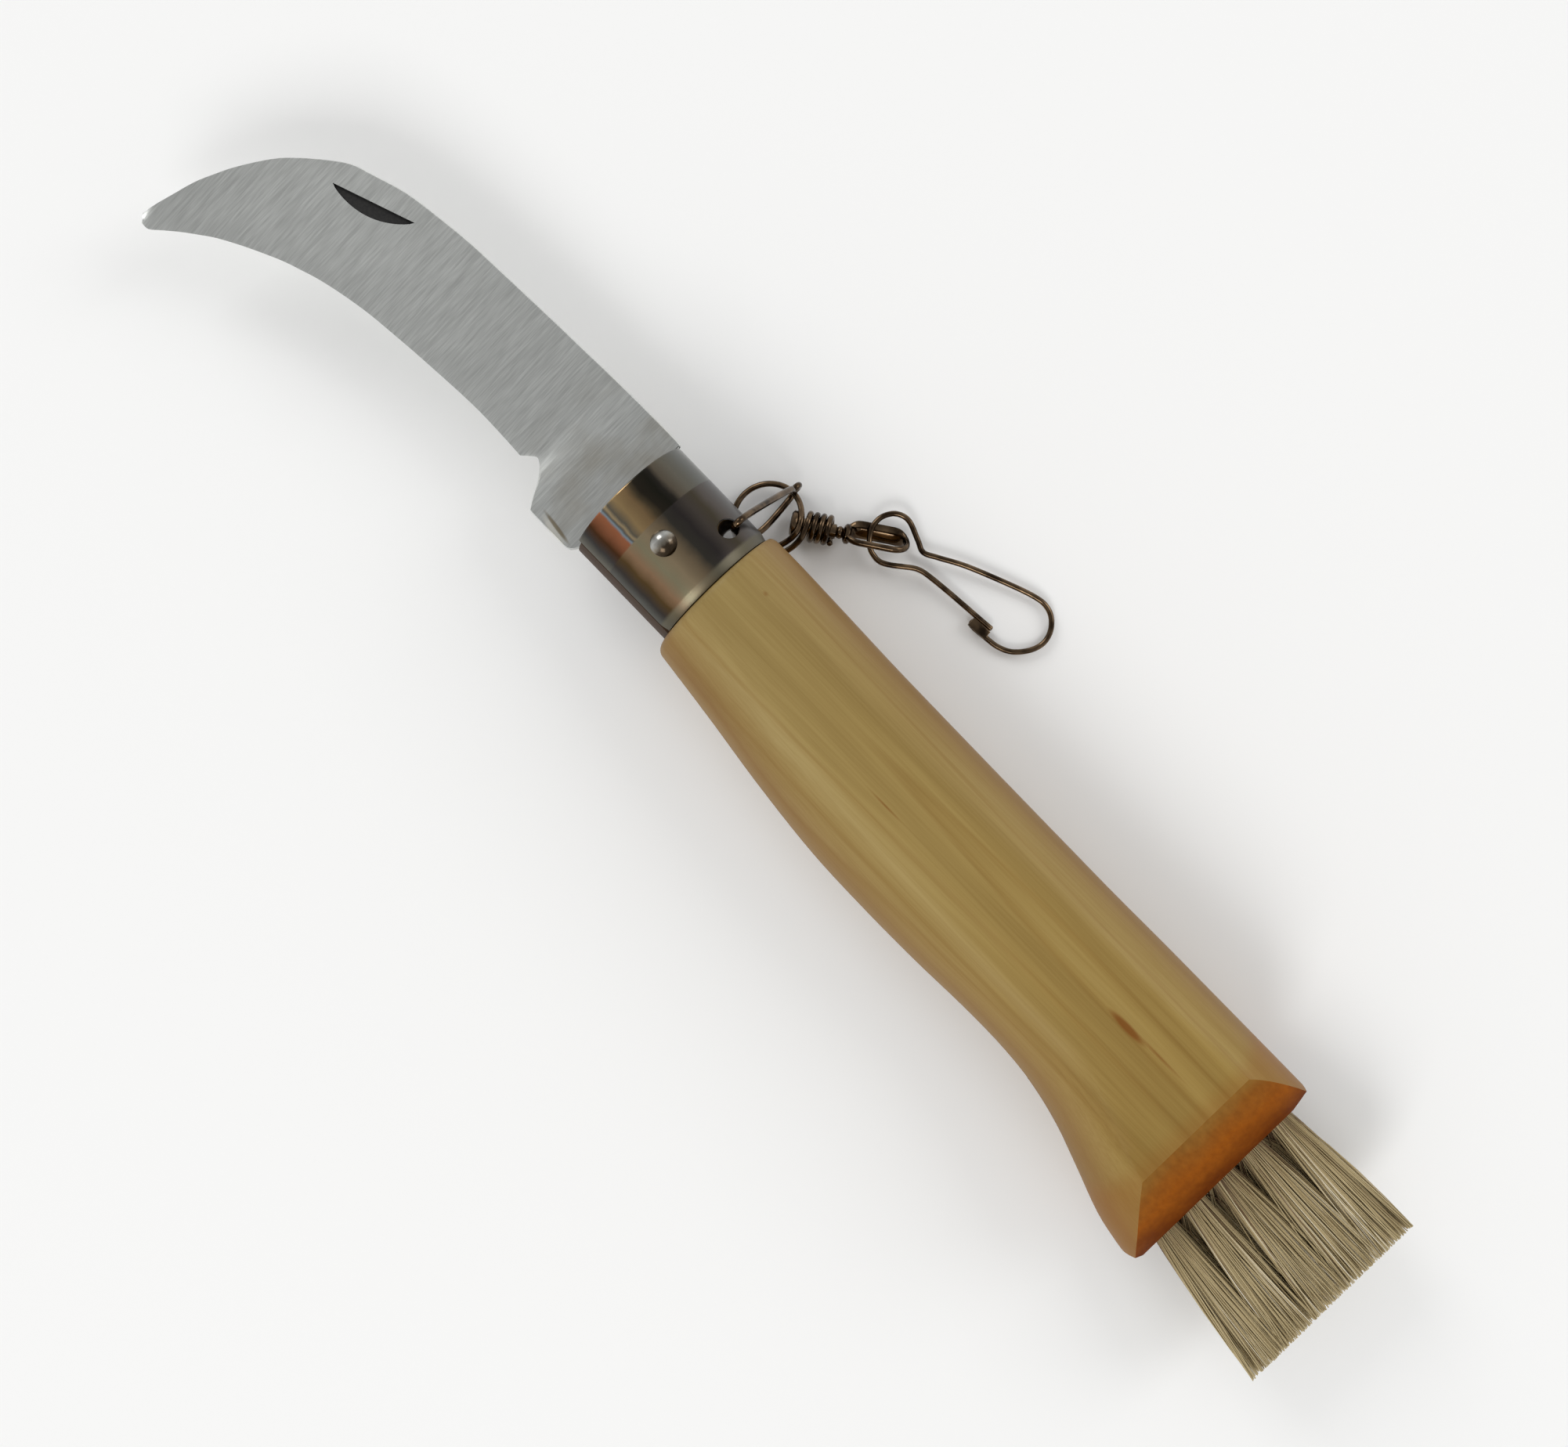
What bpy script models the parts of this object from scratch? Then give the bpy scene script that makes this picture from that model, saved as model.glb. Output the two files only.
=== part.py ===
"""Folding mushroom knife with a brush in its butt and a wire snap that hangs from its ferrule.

The knife lies on its side. In the knife's own frame the ferrule's axis is +X towards the butt, the pivot
stands at x = 0, +Y is the spine side and the blade's middle plane is z = 0. The frame empty then puts a
point of the handle's flat underside at the world's origin.
"""

import math
import random

import bmesh
import bpy
import numpy as np
from mathutils import Matrix, Vector

MM = 0.001
STEEL = (0.55, 0.56, 0.55)
DARK_STEEL = (0.22, 0.21, 0.20)
NICKEL = (0.33, 0.27, 0.20)
WOOD = (0.62, 0.47, 0.24)
BRISTLE = (0.66, 0.58, 0.42)

# Clearances
GAP = 0.3 * MM
RUNNING_GAP = 0.1 * MM
OVERRUN = 3.0 * MM
SLOT_CLEARANCE = 0.5 * MM
LINK_CLEARANCE = 0.4 * MM

# Handle. Its cross sizes are shares of the ferrule's radius, which the wood is turned to
FERRULE_RADIUS = 10.2 * MM
WOOD_LENGTH = 108.4 * MM
THICKNESS_SHARE = 2.2157
SPINE_HEIGHT_SHARE = 1.0451
BELLY_DEPTH_SHARE = 1.598
SHOULDER_RADIUS = 1.3 * MM
SHOULDER_STEP = 0.3 * MM
SEAT_STEP = 0.1 * MM
NECK_SETBACK = 0.5 * MM
REST_SHARE = 0.42
# Along the wood, as shares of its length, then of the spine's height or the belly's depth
SPINE_SHARES = ((0.0, 1.03), (0.05, 1.035), (0.14, 1.02), (0.25, 1.0), (0.62, 1.0), (0.75, 1.02), (1.0, 1.04))
BELLY_SHARES = (
    (0.0, 0.73),
    (0.11, 0.817),
    (0.22, 0.915),
    (0.33, 0.985),
    (0.42, 1.0),
    (0.52, 0.993),
    (0.62, 0.967),
    (0.69, 0.97),
    (0.75, 1.01),
    (0.81, 1.10),
    (0.87, 1.235),
    (0.93, 1.375),
    (0.97, 1.43),
    (1.0, 1.457),
)
# How far each rounded side reaches in, as shares of half the thickness
SPINE_ROUND_SHARES = ((0.0, 0.96), (0.12, 0.88), (0.35, 0.76), (0.7, 0.68), (1.0, 0.56))
BELLY_ROUND_SHARES = ((0.0, 1.03), (0.12, 0.98), (0.35, 0.9), (0.7, 0.8), (1.0, 0.62))
SECTION_POINTS = 15
WOOD_STATIONS = 26

# Butt
BEVEL_LENGTH = 10.6 * MM
BEVEL_DEPTH = 8.5 * MM
BEVEL_CROWN_SHARES = (0.60, 0.34)
SPINE_CORNER_LENGTH = 1.4 * MM
SPINE_CORNER_DEPTH = 3.6 * MM
BELLY_CORNER_LENGTH = 1.0 * MM
BELLY_CORNER_DEPTH = 1.6 * MM

# Brush. Its row's sizes across the butt are shares of the belly's depth
TUFTS = 5
STRANDS_PER_TUFT = 68
TUFT_PITCH_SHARE = 0.3436
TUFT_ROW_CENTRE_SHARE = -0.362
TUFT_HOLE_RADIUS = 2.0 * MM
TUFT_HOLE_DEPTH = 11.0 * MM
TUFT_SINK = 0.6 * MM
BRISTLE_LENGTH = 23.7 * MM
BRISTLE_TRIM = 0.35 * MM
BRISTLE_ROOT_RADIUS = 0.13 * MM
BRISTLE_TIP_RADIUS = 0.24 * MM
BRUSH_END_CENTRE_SHARE = -0.4479
BRUSH_END_WIDTH_SHARE = 1.914
BRUSH_END_DEPTH = 7.6 * MM
ANCHOR_THICKNESS = 0.5 * MM
ANCHOR_WIDTH = 1.6 * MM

# Ferrule and rivet
PIVOT_DROP = 1.0 * MM
FERRULE_SHEET = 0.8 * MM
FERRULE_FRONT = 9.3 * MM
FERRULE_REAR = 8.5 * MM
FERRULE_GAP_HALF_ANGLE = math.radians(28.0)
FERRULE_SEGMENTS = 52
RIVET_RADIUS = 1.5 * MM
RIVET_HEAD_RADIUS = 1.85 * MM
RIVET_HEAD_HEIGHT = 0.7 * MM
RIVET_HEAD_SEAT = 0.1 * MM

# Blade
BLADE_REACH = 86.0 * MM
BLADE_WIDTH = 17.0 * MM
BLADE_THICKNESS = 1.6 * MM
EDGE_THICKNESS = 0.3 * MM
SLOT_WIDTH = 2.5 * MM
TANG_RADIUS = 6.2 * MM
FOLD_ANGLE = math.radians(168.0)
# Pairs of points across the blade, from its tip to its kick: spine x and y, then edge x and y, as
# shares of the reach and the width, and how much of the full thickness the edge side has
BLADE_SHARES = (
    (-1.000, -1.247, -0.993, -1.315, 0.0),
    (-0.996, -1.120, -0.979, -1.312, 0.0),
    (-0.988, -0.958, -0.960, -1.229, 0.0),
    (-0.978, -0.762, -0.937, -1.129, 0.0),
    (-0.965, -0.600, -0.916, -1.049, 0.0),
    (-0.948, -0.418, -0.891, -0.958, 0.0),
    (-0.916, -0.158, -0.852, -0.847, 0.0),
    (-0.888, 0.000, -0.819, -0.765, 0.0),
    (-0.852, 0.161, -0.787, -0.691, 0.0),
    (-0.820, 0.278, -0.756, -0.635, 0.0),
    (-0.788, 0.337, -0.723, -0.581, 0.0),
    (-0.723, 0.441, -0.680, -0.529, 0.0),
    (-0.659, 0.493, -0.628, -0.482, 0.0),
    (-0.595, 0.532, -0.564, -0.447, 0.0),
    (-0.530, 0.552, -0.500, -0.418, 0.0),
    (-0.402, 0.584, -0.402, -0.385, 0.0),
    (-0.337, 0.597, -0.337, -0.385, 0.0),
    (-0.285, 0.609, -0.285, -0.395, 0.0),
    (-0.273, 0.610, -0.273, -0.339, 0.1),
    (-0.264, 0.612, -0.264, -0.304, 0.15),
    (-0.257, 0.613, -0.2565, -0.314, 0.25),
    (-0.247, 0.615, -0.247, -0.352, 0.4),
    (-0.232, 0.618, -0.232, -0.444, 0.65),
    (-0.219, 0.619, -0.219, -0.561, 0.85),
    (-0.208, 0.621, -0.2076, -0.645, 1.0),
    (-0.200, 0.621, -0.200, -0.655, 1.0),
    (-0.157, 0.623, -0.144, -0.655, 1.0),
    (-0.1163, 0.623, -0.1244, -0.654, 1.0),
    (-0.1134, 0.612, -0.1163, -0.639, 1.0),
)
KICK_FRONT_SHARES = (-0.1163, -0.639)
KICK_REAR_SHARES = (-0.2076, -0.645)
TIP_SHARES = (-0.993, -1.315)
SHOULDER_TOP_SHARE = 0.588
HEEL_SHARES = ((-0.1116, -0.612), (-0.1086, -0.587), (-0.1048, -0.535), (-0.0814, -0.435), (-0.0465, -0.382))
# The nail nick: its straight side's ends, as shares of the reach and the width, and its hollow side
NICK_LEFT_SHARES = (-0.8195, 0.060)
NICK_RIGHT_SHARES = (-0.678, 0.318)
NICK_BULGE = 2.1 * MM
NICK_DEPTH = 0.45 * MM

# Link through the ferrule's cross hole
LINK_WIRE = 1.0 * MM
LINK_HOLE_RADIUS = 1.5 * MM
LINK_HOLE_X = 4.3 * MM
LINK_HOLE_Y_SHARE = 0.6765
LINK_REACH = 12.95 * MM
LINK_BOW = 1.6 * MM
LINK_APEX_SHARE = 0.44
# The link's near and far legs: x and y from the hole as shares of the bow and the reach, z of the ferrule's radius
LINK_NEAR_SHARES = (
    (0.18, 0.054, -0.59),
    (0.18, 0.054, 0.0),
    (0.18, 0.054, 0.60),
    (0.22, 0.092, 0.745),
    (0.22, 0.200, 0.705),
    (0.26, 0.500, 0.150),
    (0.37, 0.860, -0.600),
)
LINK_FAR_SHARES = (
    (0.66, 0.830, -1.039),
    (1.00, 0.470, -0.960),
    (0.95, 0.260, -0.915),
    (0.55, 0.130, -0.833),
    (0.25, 0.060, -0.745),
)

# Ring with its coil
RING_WIRE = 0.9 * MM
RING_RADIUS = 5.33 * MM
RING_DROOP = 1.6 * MM
RING_LINK_ANGLE = math.radians(95.6)
RING_START_ANGLE = math.radians(33.0)
RING_RISE_ANGLE = math.radians(62.0)
COIL_RADIUS = 1.9 * MM
COIL_GAP = 0.46 * MM
COIL_TURNS = 3.0
LOOP_POINTS = 24
TABLE_CLEARANCE = 0.05 * MM

# Swivel eye
SWIVEL_HEADING = math.radians(35.0)
SHANK_RADIUS = 1.1 * MM
BUTTON_RADIUS = 1.9 * MM
BUTTON_THICKNESS = 0.9 * MM
NECK_RADIUS = 0.72 * MM
BEAD_RADIUS = 0.95 * MM
BEAD_LENGTH = 0.9 * MM
EYE_BASE_RADIUS = 1.5 * MM
EYE_BASE_LENGTH = 1.3 * MM
EYE_WIRE = 1.0 * MM
EYE_LENGTH = 9.2 * MM
EYE_HALF_WIDTH = 2.3 * MM
EYE_ROLL = math.radians(-49.0)

# Snap
SNAP_WIRE = 0.85 * MM
SNAP_LENGTH = 30.0 * MM
SNAP_WIDTH = 13.4 * MM
SNAP_SIDESTEP = 1.3 * MM
SNAP_THREAD_SHARE = 0.45
SNAP_DROP = 0.5 * MM
SNAP_PITCH = math.radians(2.5)
# Centre line in the snap's plane from the place where it threads the eye, as shares of its length and width
SNAP_HOOK_SHARES = (
    (0.676, 0.120),
    (0.677, 0.088),
    (0.695, 0.075),
    (0.773, 0.093),
    (0.850, 0.121),
    (0.920, 0.201),
    (0.975, 0.358),
    (0.995, 0.515),
    (0.977, 0.664),
    (0.930, 0.776),
    (0.873, 0.821),
    (0.810, 0.806),
    (0.695, 0.716),
    (0.463, 0.494),
    (0.328, 0.326),
    (0.258, 0.247),
    (0.197, 0.295),
    (0.097, 0.373),
    (0.030, 0.328),
    (-0.008, 0.201),
    (-0.010, 0.060),
    (0.020, -0.067),
    (0.067, -0.153),
    (0.117, -0.178),
)
SNAP_GATE_SHARES = (
    (0.135, -0.174),
    (0.155, -0.160),
    (0.193, -0.107),
    (0.270, 0.032),
    (0.301, 0.075),
    (0.339, 0.102),
    (0.424, 0.130),
    (0.540, 0.158),
    (0.656, 0.182),
    (0.761, 0.206),
)

# Places worked out from the sizes above
HANDLE_THICKNESS = THICKNESS_SHARE * FERRULE_RADIUS
HALF_THICKNESS = HANDLE_THICKNESS / 2
SPINE_HEIGHT = SPINE_HEIGHT_SHARE * FERRULE_RADIUS
BELLY_DEPTH = BELLY_DEPTH_SHARE * FERRULE_RADIUS
TUFT_PITCH = TUFT_PITCH_SHARE * BELLY_DEPTH
TUFT_ROW_CENTRE = TUFT_ROW_CENTRE_SHARE * BELLY_DEPTH
BRUSH_END_CENTRE = BRUSH_END_CENTRE_SHARE * BELLY_DEPTH
BRUSH_END_WIDTH = BRUSH_END_WIDTH_SHARE * BELLY_DEPTH
LINK_HOLE_Y = LINK_HOLE_Y_SHARE * FERRULE_RADIUS
WOOD_START = FERRULE_REAR + GAP
BUTT_END = WOOD_START + WOOD_LENGTH
REST_X = WOOD_START + REST_SHARE * WOOD_LENGTH
PIVOT = Vector((0, -PIVOT_DROP))


def interpolated(table, share):
    """Value of a table of (place, value) pairs at a share, on a smooth curve through its points."""
    places = [row[0] for row in table]
    values = [row[1] for row in table]
    index = min(max(np.searchsorted(places, share) - 1, 0), len(table) - 2)
    width = places[index + 1] - places[index]
    slopes = np.gradient(values, places)
    t = (share - places[index]) / width
    start = (1 + 2 * t) * (1 - t) ** 2 * values[index]
    end = t * t * (3 - 2 * t) * values[index + 1]
    bends = t * (1 - t) ** 2 * slopes[index] - t * t * (1 - t) * slopes[index + 1]
    return float(start + end + bends * width)


def spine_at(share):
    """Height of the wood's spine line over the axis."""
    return SPINE_HEIGHT * interpolated(SPINE_SHARES, share)


def belly_at(share):
    """Depth of the wood's belly line under the axis."""
    return BELLY_DEPTH * interpolated(BELLY_SHARES, share)


def spine_round_at(share):
    """How far in the spine side's rounding reaches."""
    return HALF_THICKNESS * interpolated(SPINE_ROUND_SHARES, share)


def belly_round_at(share):
    """How far in the belly side's rounding reaches."""
    return HALF_THICKNESS * interpolated(BELLY_ROUND_SHARES, share)


def rest_point():
    """Middle of the handle's flat underside at the rest station, in the knife's frame."""
    high = spine_at(REST_SHARE) - spine_round_at(REST_SHARE)
    low = belly_round_at(REST_SHARE) - belly_at(REST_SHARE)
    return Vector((REST_X, (high + low) / 2, -HALF_THICKNESS))


def clear_scene():
    """Removes what the scene starts with."""
    for obj in list(bpy.data.objects):
        bpy.data.objects.remove(obj, do_unlink=True)


def new_material(name, colour, roughness, metallic):
    """A Principled material with one colour."""
    material = bpy.data.materials.new(name)
    material.use_nodes = True
    shader = material.node_tree.nodes["Principled BSDF"]
    shader.inputs["Base Color"].default_value = (*colour, 1.0)
    shader.inputs["Roughness"].default_value = roughness
    shader.inputs["Metallic"].default_value = metallic
    return material


def add_object(name, data, frame, material, location=(0, 0, 0), rotation=(0, 0, 0)):
    """Links an object under the knife's frame with its material."""
    obj = bpy.data.objects.new(name, data)
    bpy.context.scene.collection.objects.link(obj)
    obj.parent = frame
    obj.location = location
    obj.rotation_euler = rotation
    if material is not None:
        data.materials.append(material)
    return obj


def mesh_from(name, build, smooth_angle=None):
    """A mesh that a function fills through a bmesh, with its normals outwards."""
    work = bmesh.new()
    build(work)
    bmesh.ops.recalc_face_normals(work, faces=work.faces)
    mesh = bpy.data.meshes.new(name)
    work.to_mesh(mesh)
    work.free()
    if smooth_angle is not None:
        mesh.shade_smooth()
        mesh.set_sharp_from_angle(angle=smooth_angle)
    return mesh


def lofted(work, rings):
    """Skins a row of closed rings of equal length and closes both ends."""
    rows = [[work.verts.new(point) for point in ring] for ring in rings]
    count = len(rows[0])
    for first, second in zip(rows, rows[1:]):
        for i in range(count):
            j = (i + 1) % count
            work.faces.new((first[i], first[j], second[j], second[i]))
    work.faces.new(rows[0])
    work.faces.new(rows[-1])


def prism(work, outline, direction):
    """A flat outline of points, extruded along a direction."""
    face = work.faces.new([work.verts.new(point) for point in outline])
    made = bmesh.ops.extrude_face_region(work, geom=[face])
    moved = [item for item in made["geom"] if isinstance(item, bmesh.types.BMVert)]
    bmesh.ops.translate(work, verts=moved, vec=direction)


def turned(work, profile, segments):
    """A profile of (place along X, radius) pairs turned once round the X axis."""
    line = [work.verts.new((along, 0.0, radius)) for along, radius in profile]
    edges = [work.edges.new(pair) for pair in zip(line, line[1:])]
    bmesh.ops.spin(
        work,
        geom=line + edges,
        cent=(0, 0, 0),
        axis=(1, 0, 0),
        angle=math.tau,
        steps=segments,
        use_merge=True,
    )
    bmesh.ops.remove_doubles(work, verts=work.verts, dist=GAP / 1000)


def cut(target, cutter, operation="DIFFERENCE"):
    """Adds a Boolean to the target and hides its cutter."""
    cutter.hide_render = True
    cutter.display_type = "WIRE"
    modifier = target.modifiers.new(cutter.name, "BOOLEAN")
    modifier.operation = operation
    modifier.solver = "EXACT"
    modifier.object = cutter


def round_cutter(name, frame, radius, start, end, segments=32):
    """A cylinder between two points, for a bore."""
    along = Vector(end) - Vector(start)
    turn = along.to_track_quat("Z", "Y").to_matrix().to_4x4()
    middle = (Vector(start) + Vector(end)) / 2

    def build(work):
        bmesh.ops.create_cone(
            work,
            cap_ends=True,
            segments=segments,
            radius1=radius,
            radius2=radius,
            depth=along.length,
            matrix=Matrix.Translation(middle) @ turn,
        )

    return add_object(name, mesh_from(name, build), frame, None)


def pivot_cutter(name, frame, reach):
    """The bore for the rivet, to a reach on each side of the middle plane."""
    low = (PIVOT.x, PIVOT.y, -reach)
    return round_cutter(name, frame, RIVET_RADIUS + RUNNING_GAP, low, (PIVOT.x, PIVOT.y, reach))


def smooth_path(points, steps, closed=False):
    """Points on a Catmull-Rom curve through the given ones."""
    source = [Vector(point) for point in points]
    count = len(source)
    spans = count if closed else count - 1
    path = []
    for i in range(spans):
        if closed:
            near = [source[(i + k) % count] for k in (-1, 0, 1, 2)]
        else:
            near = [source[min(max(i + k, 0), count - 1)] for k in (-1, 0, 1, 2)]
        for step in range(steps):
            t = step / steps
            path.append(
                0.5
                * (
                    2 * near[1]
                    + (near[2] - near[0]) * t
                    + (2 * near[0] - 5 * near[1] + 4 * near[2] - near[3]) * t * t
                    + (3 * near[1] - near[0] - 3 * near[2] + near[3]) * t * t * t
                )
            )
    if not closed:
        path.append(source[-1])
    return path


def wire_curve(name, path, diameter, resolution, closed=False):
    """A curve of one spline along a path, with a round bevel and filled ends."""
    curve = bpy.data.curves.new(name, "CURVE")
    curve.dimensions = "3D"
    curve.bevel_depth = diameter / 2
    curve.bevel_resolution = resolution
    curve.use_fill_caps = True
    spline = curve.splines.new("POLY")
    spline.points.add(len(path) - 1)
    for point, place in zip(spline.points, path):
        point.co = (*place, 1.0)
    spline.use_cyclic_u = closed
    spline.use_smooth = True
    return curve


def least_gap_of(path, diameter, apart):
    """Least gap of a wound wire to itself, between points more than a length apart along it."""
    places = np.array([tuple(point) for point in path])
    steps = np.linalg.norm(np.diff(places, axis=0), axis=1)
    along = np.concatenate([[0.0], np.cumsum(steps)])
    distances = np.linalg.norm(places[:, None] - places[None, :], axis=2)
    far = np.abs(along[:, None] - along[None, :]) > apart
    return float(distances[far].min()) - diameter


# Handle


def wood_section(x, share):
    """One ring of the wood: two half ellipses joined by the flat top and underside."""
    high = spine_at(share)
    low = belly_at(share)
    reach_high = spine_round_at(share)
    reach_low = belly_round_at(share)
    ring = []
    for i in range(SECTION_POINTS):
        angle = math.pi * (0.5 - i / (SECTION_POINTS - 1))
        y = high - reach_high + reach_high * math.cos(angle)
        ring.append(Vector((x, y, HALF_THICKNESS * math.sin(angle))))
    for i in range(SECTION_POINTS):
        angle = math.pi * (1.5 - i / (SECTION_POINTS - 1))
        y = -low + reach_low + reach_low * math.cos(angle)
        ring.append(Vector((x, y, HALF_THICKNESS * math.sin(angle))))
    return ring


def neck_section(x, radius):
    """One nearly round ring, with as many points as the wood's rings."""
    flat = RUNNING_GAP
    ring = []
    for side in (1, -1):
        for i in range(SECTION_POINTS):
            angle = math.pi * (0.5 * side - side * i / (SECTION_POINTS - 1))
            y = side * (flat + (radius - flat) * math.cos(angle))
            ring.append(Vector((x, y, radius * math.sin(angle))))
    return ring


def handle_rings():
    """Rings of the neck, the rounded shoulder and the shaped wood."""
    neck = FERRULE_RADIUS - RUNNING_GAP
    rings = [neck_section(NECK_SETBACK - FERRULE_FRONT, neck), neck_section(WOOD_START - SEAT_STEP, neck)]
    for i in range(5):
        angle = math.pi / 2 * i / 4
        x = WOOD_START + SHOULDER_RADIUS * (1 - math.cos(angle))
        round_ring = neck_section(x, FERRULE_RADIUS + SHOULDER_STEP)
        wood_ring = wood_section(x, (x - WOOD_START) / WOOD_LENGTH)
        rings.append([a.lerp(b, math.sin(angle)) for a, b in zip(round_ring, wood_ring)])
    first = SHOULDER_RADIUS / WOOD_LENGTH
    for i in range(1, WOOD_STATIONS):
        share = first + (1 - first) * i / (WOOD_STATIONS - 1)
        rings.append(wood_section(WOOD_START + share * WOOD_LENGTH, share))
    rings.append(wood_section(BUTT_END + OVERRUN, 1.0))
    return rings


def bevel_outline():
    """Side view that the butt is cut to: flat faces, then a crowned bevel to the narrow end face."""
    front = NECK_SETBACK - FERRULE_FRONT - OVERRUN
    high = HALF_THICKNESS + OVERRUN
    start = BUTT_END - BEVEL_LENGTH
    slope = BEVEL_CROWN_SHARES[1] * BEVEL_DEPTH / (BEVEL_CROWN_SHARES[0] * BEVEL_LENGTH)
    upper = [(front, high), (start - OVERRUN / slope, high)]
    for i in range(8):
        t = i / 7
        x = 2 * t * (1 - t) * BEVEL_CROWN_SHARES[0] + t * t
        z = 2 * t * (1 - t) * BEVEL_CROWN_SHARES[1] + t * t
        upper.append((start + x * BEVEL_LENGTH, HALF_THICKNESS - z * BEVEL_DEPTH))
    return upper + [(x, -z) for x, z in reversed(upper)]


def slot_outline():
    """Plan of the blade's slot: room for the tang, the folded kick and the folded tip."""
    front = NECK_SETBACK - FERRULE_FRONT - OVERRUN
    below = -(BLADE_REACH + OVERRUN)
    top = PIVOT.y + TANG_RADIUS + SLOT_CLEARANCE
    heel = folded(blade_point(HEEL_SHARES[2]))
    kick_front = folded(blade_point(KICK_FRONT_SHARES))
    kick_rear = folded(blade_point(KICK_REAR_SHARES))
    tip = folded(blade_point(TIP_SHARES))
    end = (tip - PIVOT).length + SLOT_CLEARANCE
    return [
        (front, top),
        (heel.x - 2 * SLOT_CLEARANCE, top),
        (kick_front.x - SLOT_CLEARANCE, kick_front.y + SLOT_CLEARANCE),
        (kick_rear.x + SLOT_CLEARANCE, kick_rear.y + SLOT_CLEARANCE),
        (end, tip.y + SLOT_CLEARANCE),
        (end, below),
        (front, below),
    ]


def sheet_outline(inner, outer, half_gap):
    """Section of a sheet wrapped round the neck, open at the belly, as (y, z) points."""
    points = []
    for radius, order in ((outer, 1), (inner, -1)):
        arc = []
        for i in range(FERRULE_SEGMENTS + 1):
            angle = half_gap + (math.tau - 2 * half_gap) * i / FERRULE_SEGMENTS
            arc.append((-radius * math.cos(angle), radius * math.sin(angle)))
        points += arc[::order]
    return points


def make_handle(frame, material):
    """The wooden handle with its neck, slot, bevels and holes."""
    body = mesh_from("handle", lambda work: lofted(work, handle_rings()), math.radians(40))
    handle = add_object("handle", body, frame, material)
    width = 2 * BUTT_END
    side = [(x, -width, z) for x, z in bevel_outline()]
    bevels = mesh_from("butt_bevels", lambda work: prism(work, side, (0, 2 * width, 0)))
    cut(handle, add_object("butt_bevels", bevels, frame, None), "INTERSECT")
    for name, height, length, depth in (
        ("spine_corner", spine_at(1.0), SPINE_CORNER_LENGTH, SPINE_CORNER_DEPTH),
        ("belly_corner", -belly_at(1.0), BELLY_CORNER_LENGTH, -BELLY_CORNER_DEPTH),
    ):
        out = math.copysign(OVERRUN, height)
        slope = length / depth
        corner = [
            (BUTT_END - length - slope * out, height + out, -HANDLE_THICKNESS),
            (BUTT_END + slope * out, height - depth - out, -HANDLE_THICKNESS),
            (BUTT_END + OVERRUN, height - depth - out, -HANDLE_THICKNESS),
            (BUTT_END + OVERRUN, height + out, -HANDLE_THICKNESS),
        ]
        wedge = mesh_from(name, lambda work, c=corner: prism(work, c, (0, 0, 2 * HANDLE_THICKNESS)))
        cut(handle, add_object(name, wedge, frame, None))
    front = NECK_SETBACK - FERRULE_FRONT - OVERRUN
    lip = FERRULE_GAP_HALF_ANGLE - GAP / FERRULE_RADIUS
    ring = sheet_outline(FERRULE_RADIUS - FERRULE_SHEET - GAP, FERRULE_RADIUS + OVERRUN, lip)
    seat_points = [(front, y, z) for y, z in ring]
    reach = WOOD_START - SEAT_STEP / 2 - front
    seat = mesh_from("ferrule_seat", lambda work: prism(work, seat_points, (reach, 0, 0)))
    cut(handle, add_object("ferrule_seat", seat, frame, None))
    plan = [(x, y, -SLOT_WIDTH / 2) for x, y in slot_outline()]
    slot = mesh_from("blade_slot", lambda work: prism(work, plan, (0, 0, SLOT_WIDTH)))
    cut(handle, add_object("blade_slot", slot, frame, None))
    high = HALF_THICKNESS + OVERRUN
    cut(handle, pivot_cutter("rivet_bore", frame, high))
    hole = Vector((LINK_HOLE_X, LINK_HOLE_Y, high))
    foot = Vector((LINK_HOLE_X, LINK_HOLE_Y, -high))
    cut(handle, round_cutter("link_bore", frame, LINK_HOLE_RADIUS, foot, hole))
    for i in range(TUFTS):
        start = Vector((BUTT_END - TUFT_HOLE_DEPTH, tuft_height(i), 0))
        end = Vector((BUTT_END + OVERRUN, tuft_height(i), 0))
        bore = round_cutter(f"tuft_bore_{i + 1}", frame, TUFT_HOLE_RADIUS, start, end, 24)
        cut(handle, bore)
    return handle


# Ferrule and rivet


def make_ferrule(frame, material):
    """Sheet wrapped round the neck, open along the belly, with its rivet and link holes."""
    ring = sheet_outline(FERRULE_RADIUS - FERRULE_SHEET, FERRULE_RADIUS, FERRULE_GAP_HALF_ANGLE)
    section = [(-FERRULE_FRONT, y, z) for y, z in ring]
    length = FERRULE_FRONT + FERRULE_REAR
    sheet = mesh_from("ferrule", lambda work: prism(work, section, (length, 0, 0)), math.radians(30))
    ferrule = add_object("ferrule", sheet, frame, material)
    high = HALF_THICKNESS + OVERRUN
    cut(ferrule, pivot_cutter("ferrule_rivet_hole", frame, high))
    hole = Vector((LINK_HOLE_X, LINK_HOLE_Y, high))
    foot = Vector((LINK_HOLE_X, LINK_HOLE_Y, -high))
    cut(ferrule, round_cutter("ferrule_link_hole", frame, LINK_HOLE_RADIUS, foot, hole))
    return ferrule


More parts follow.
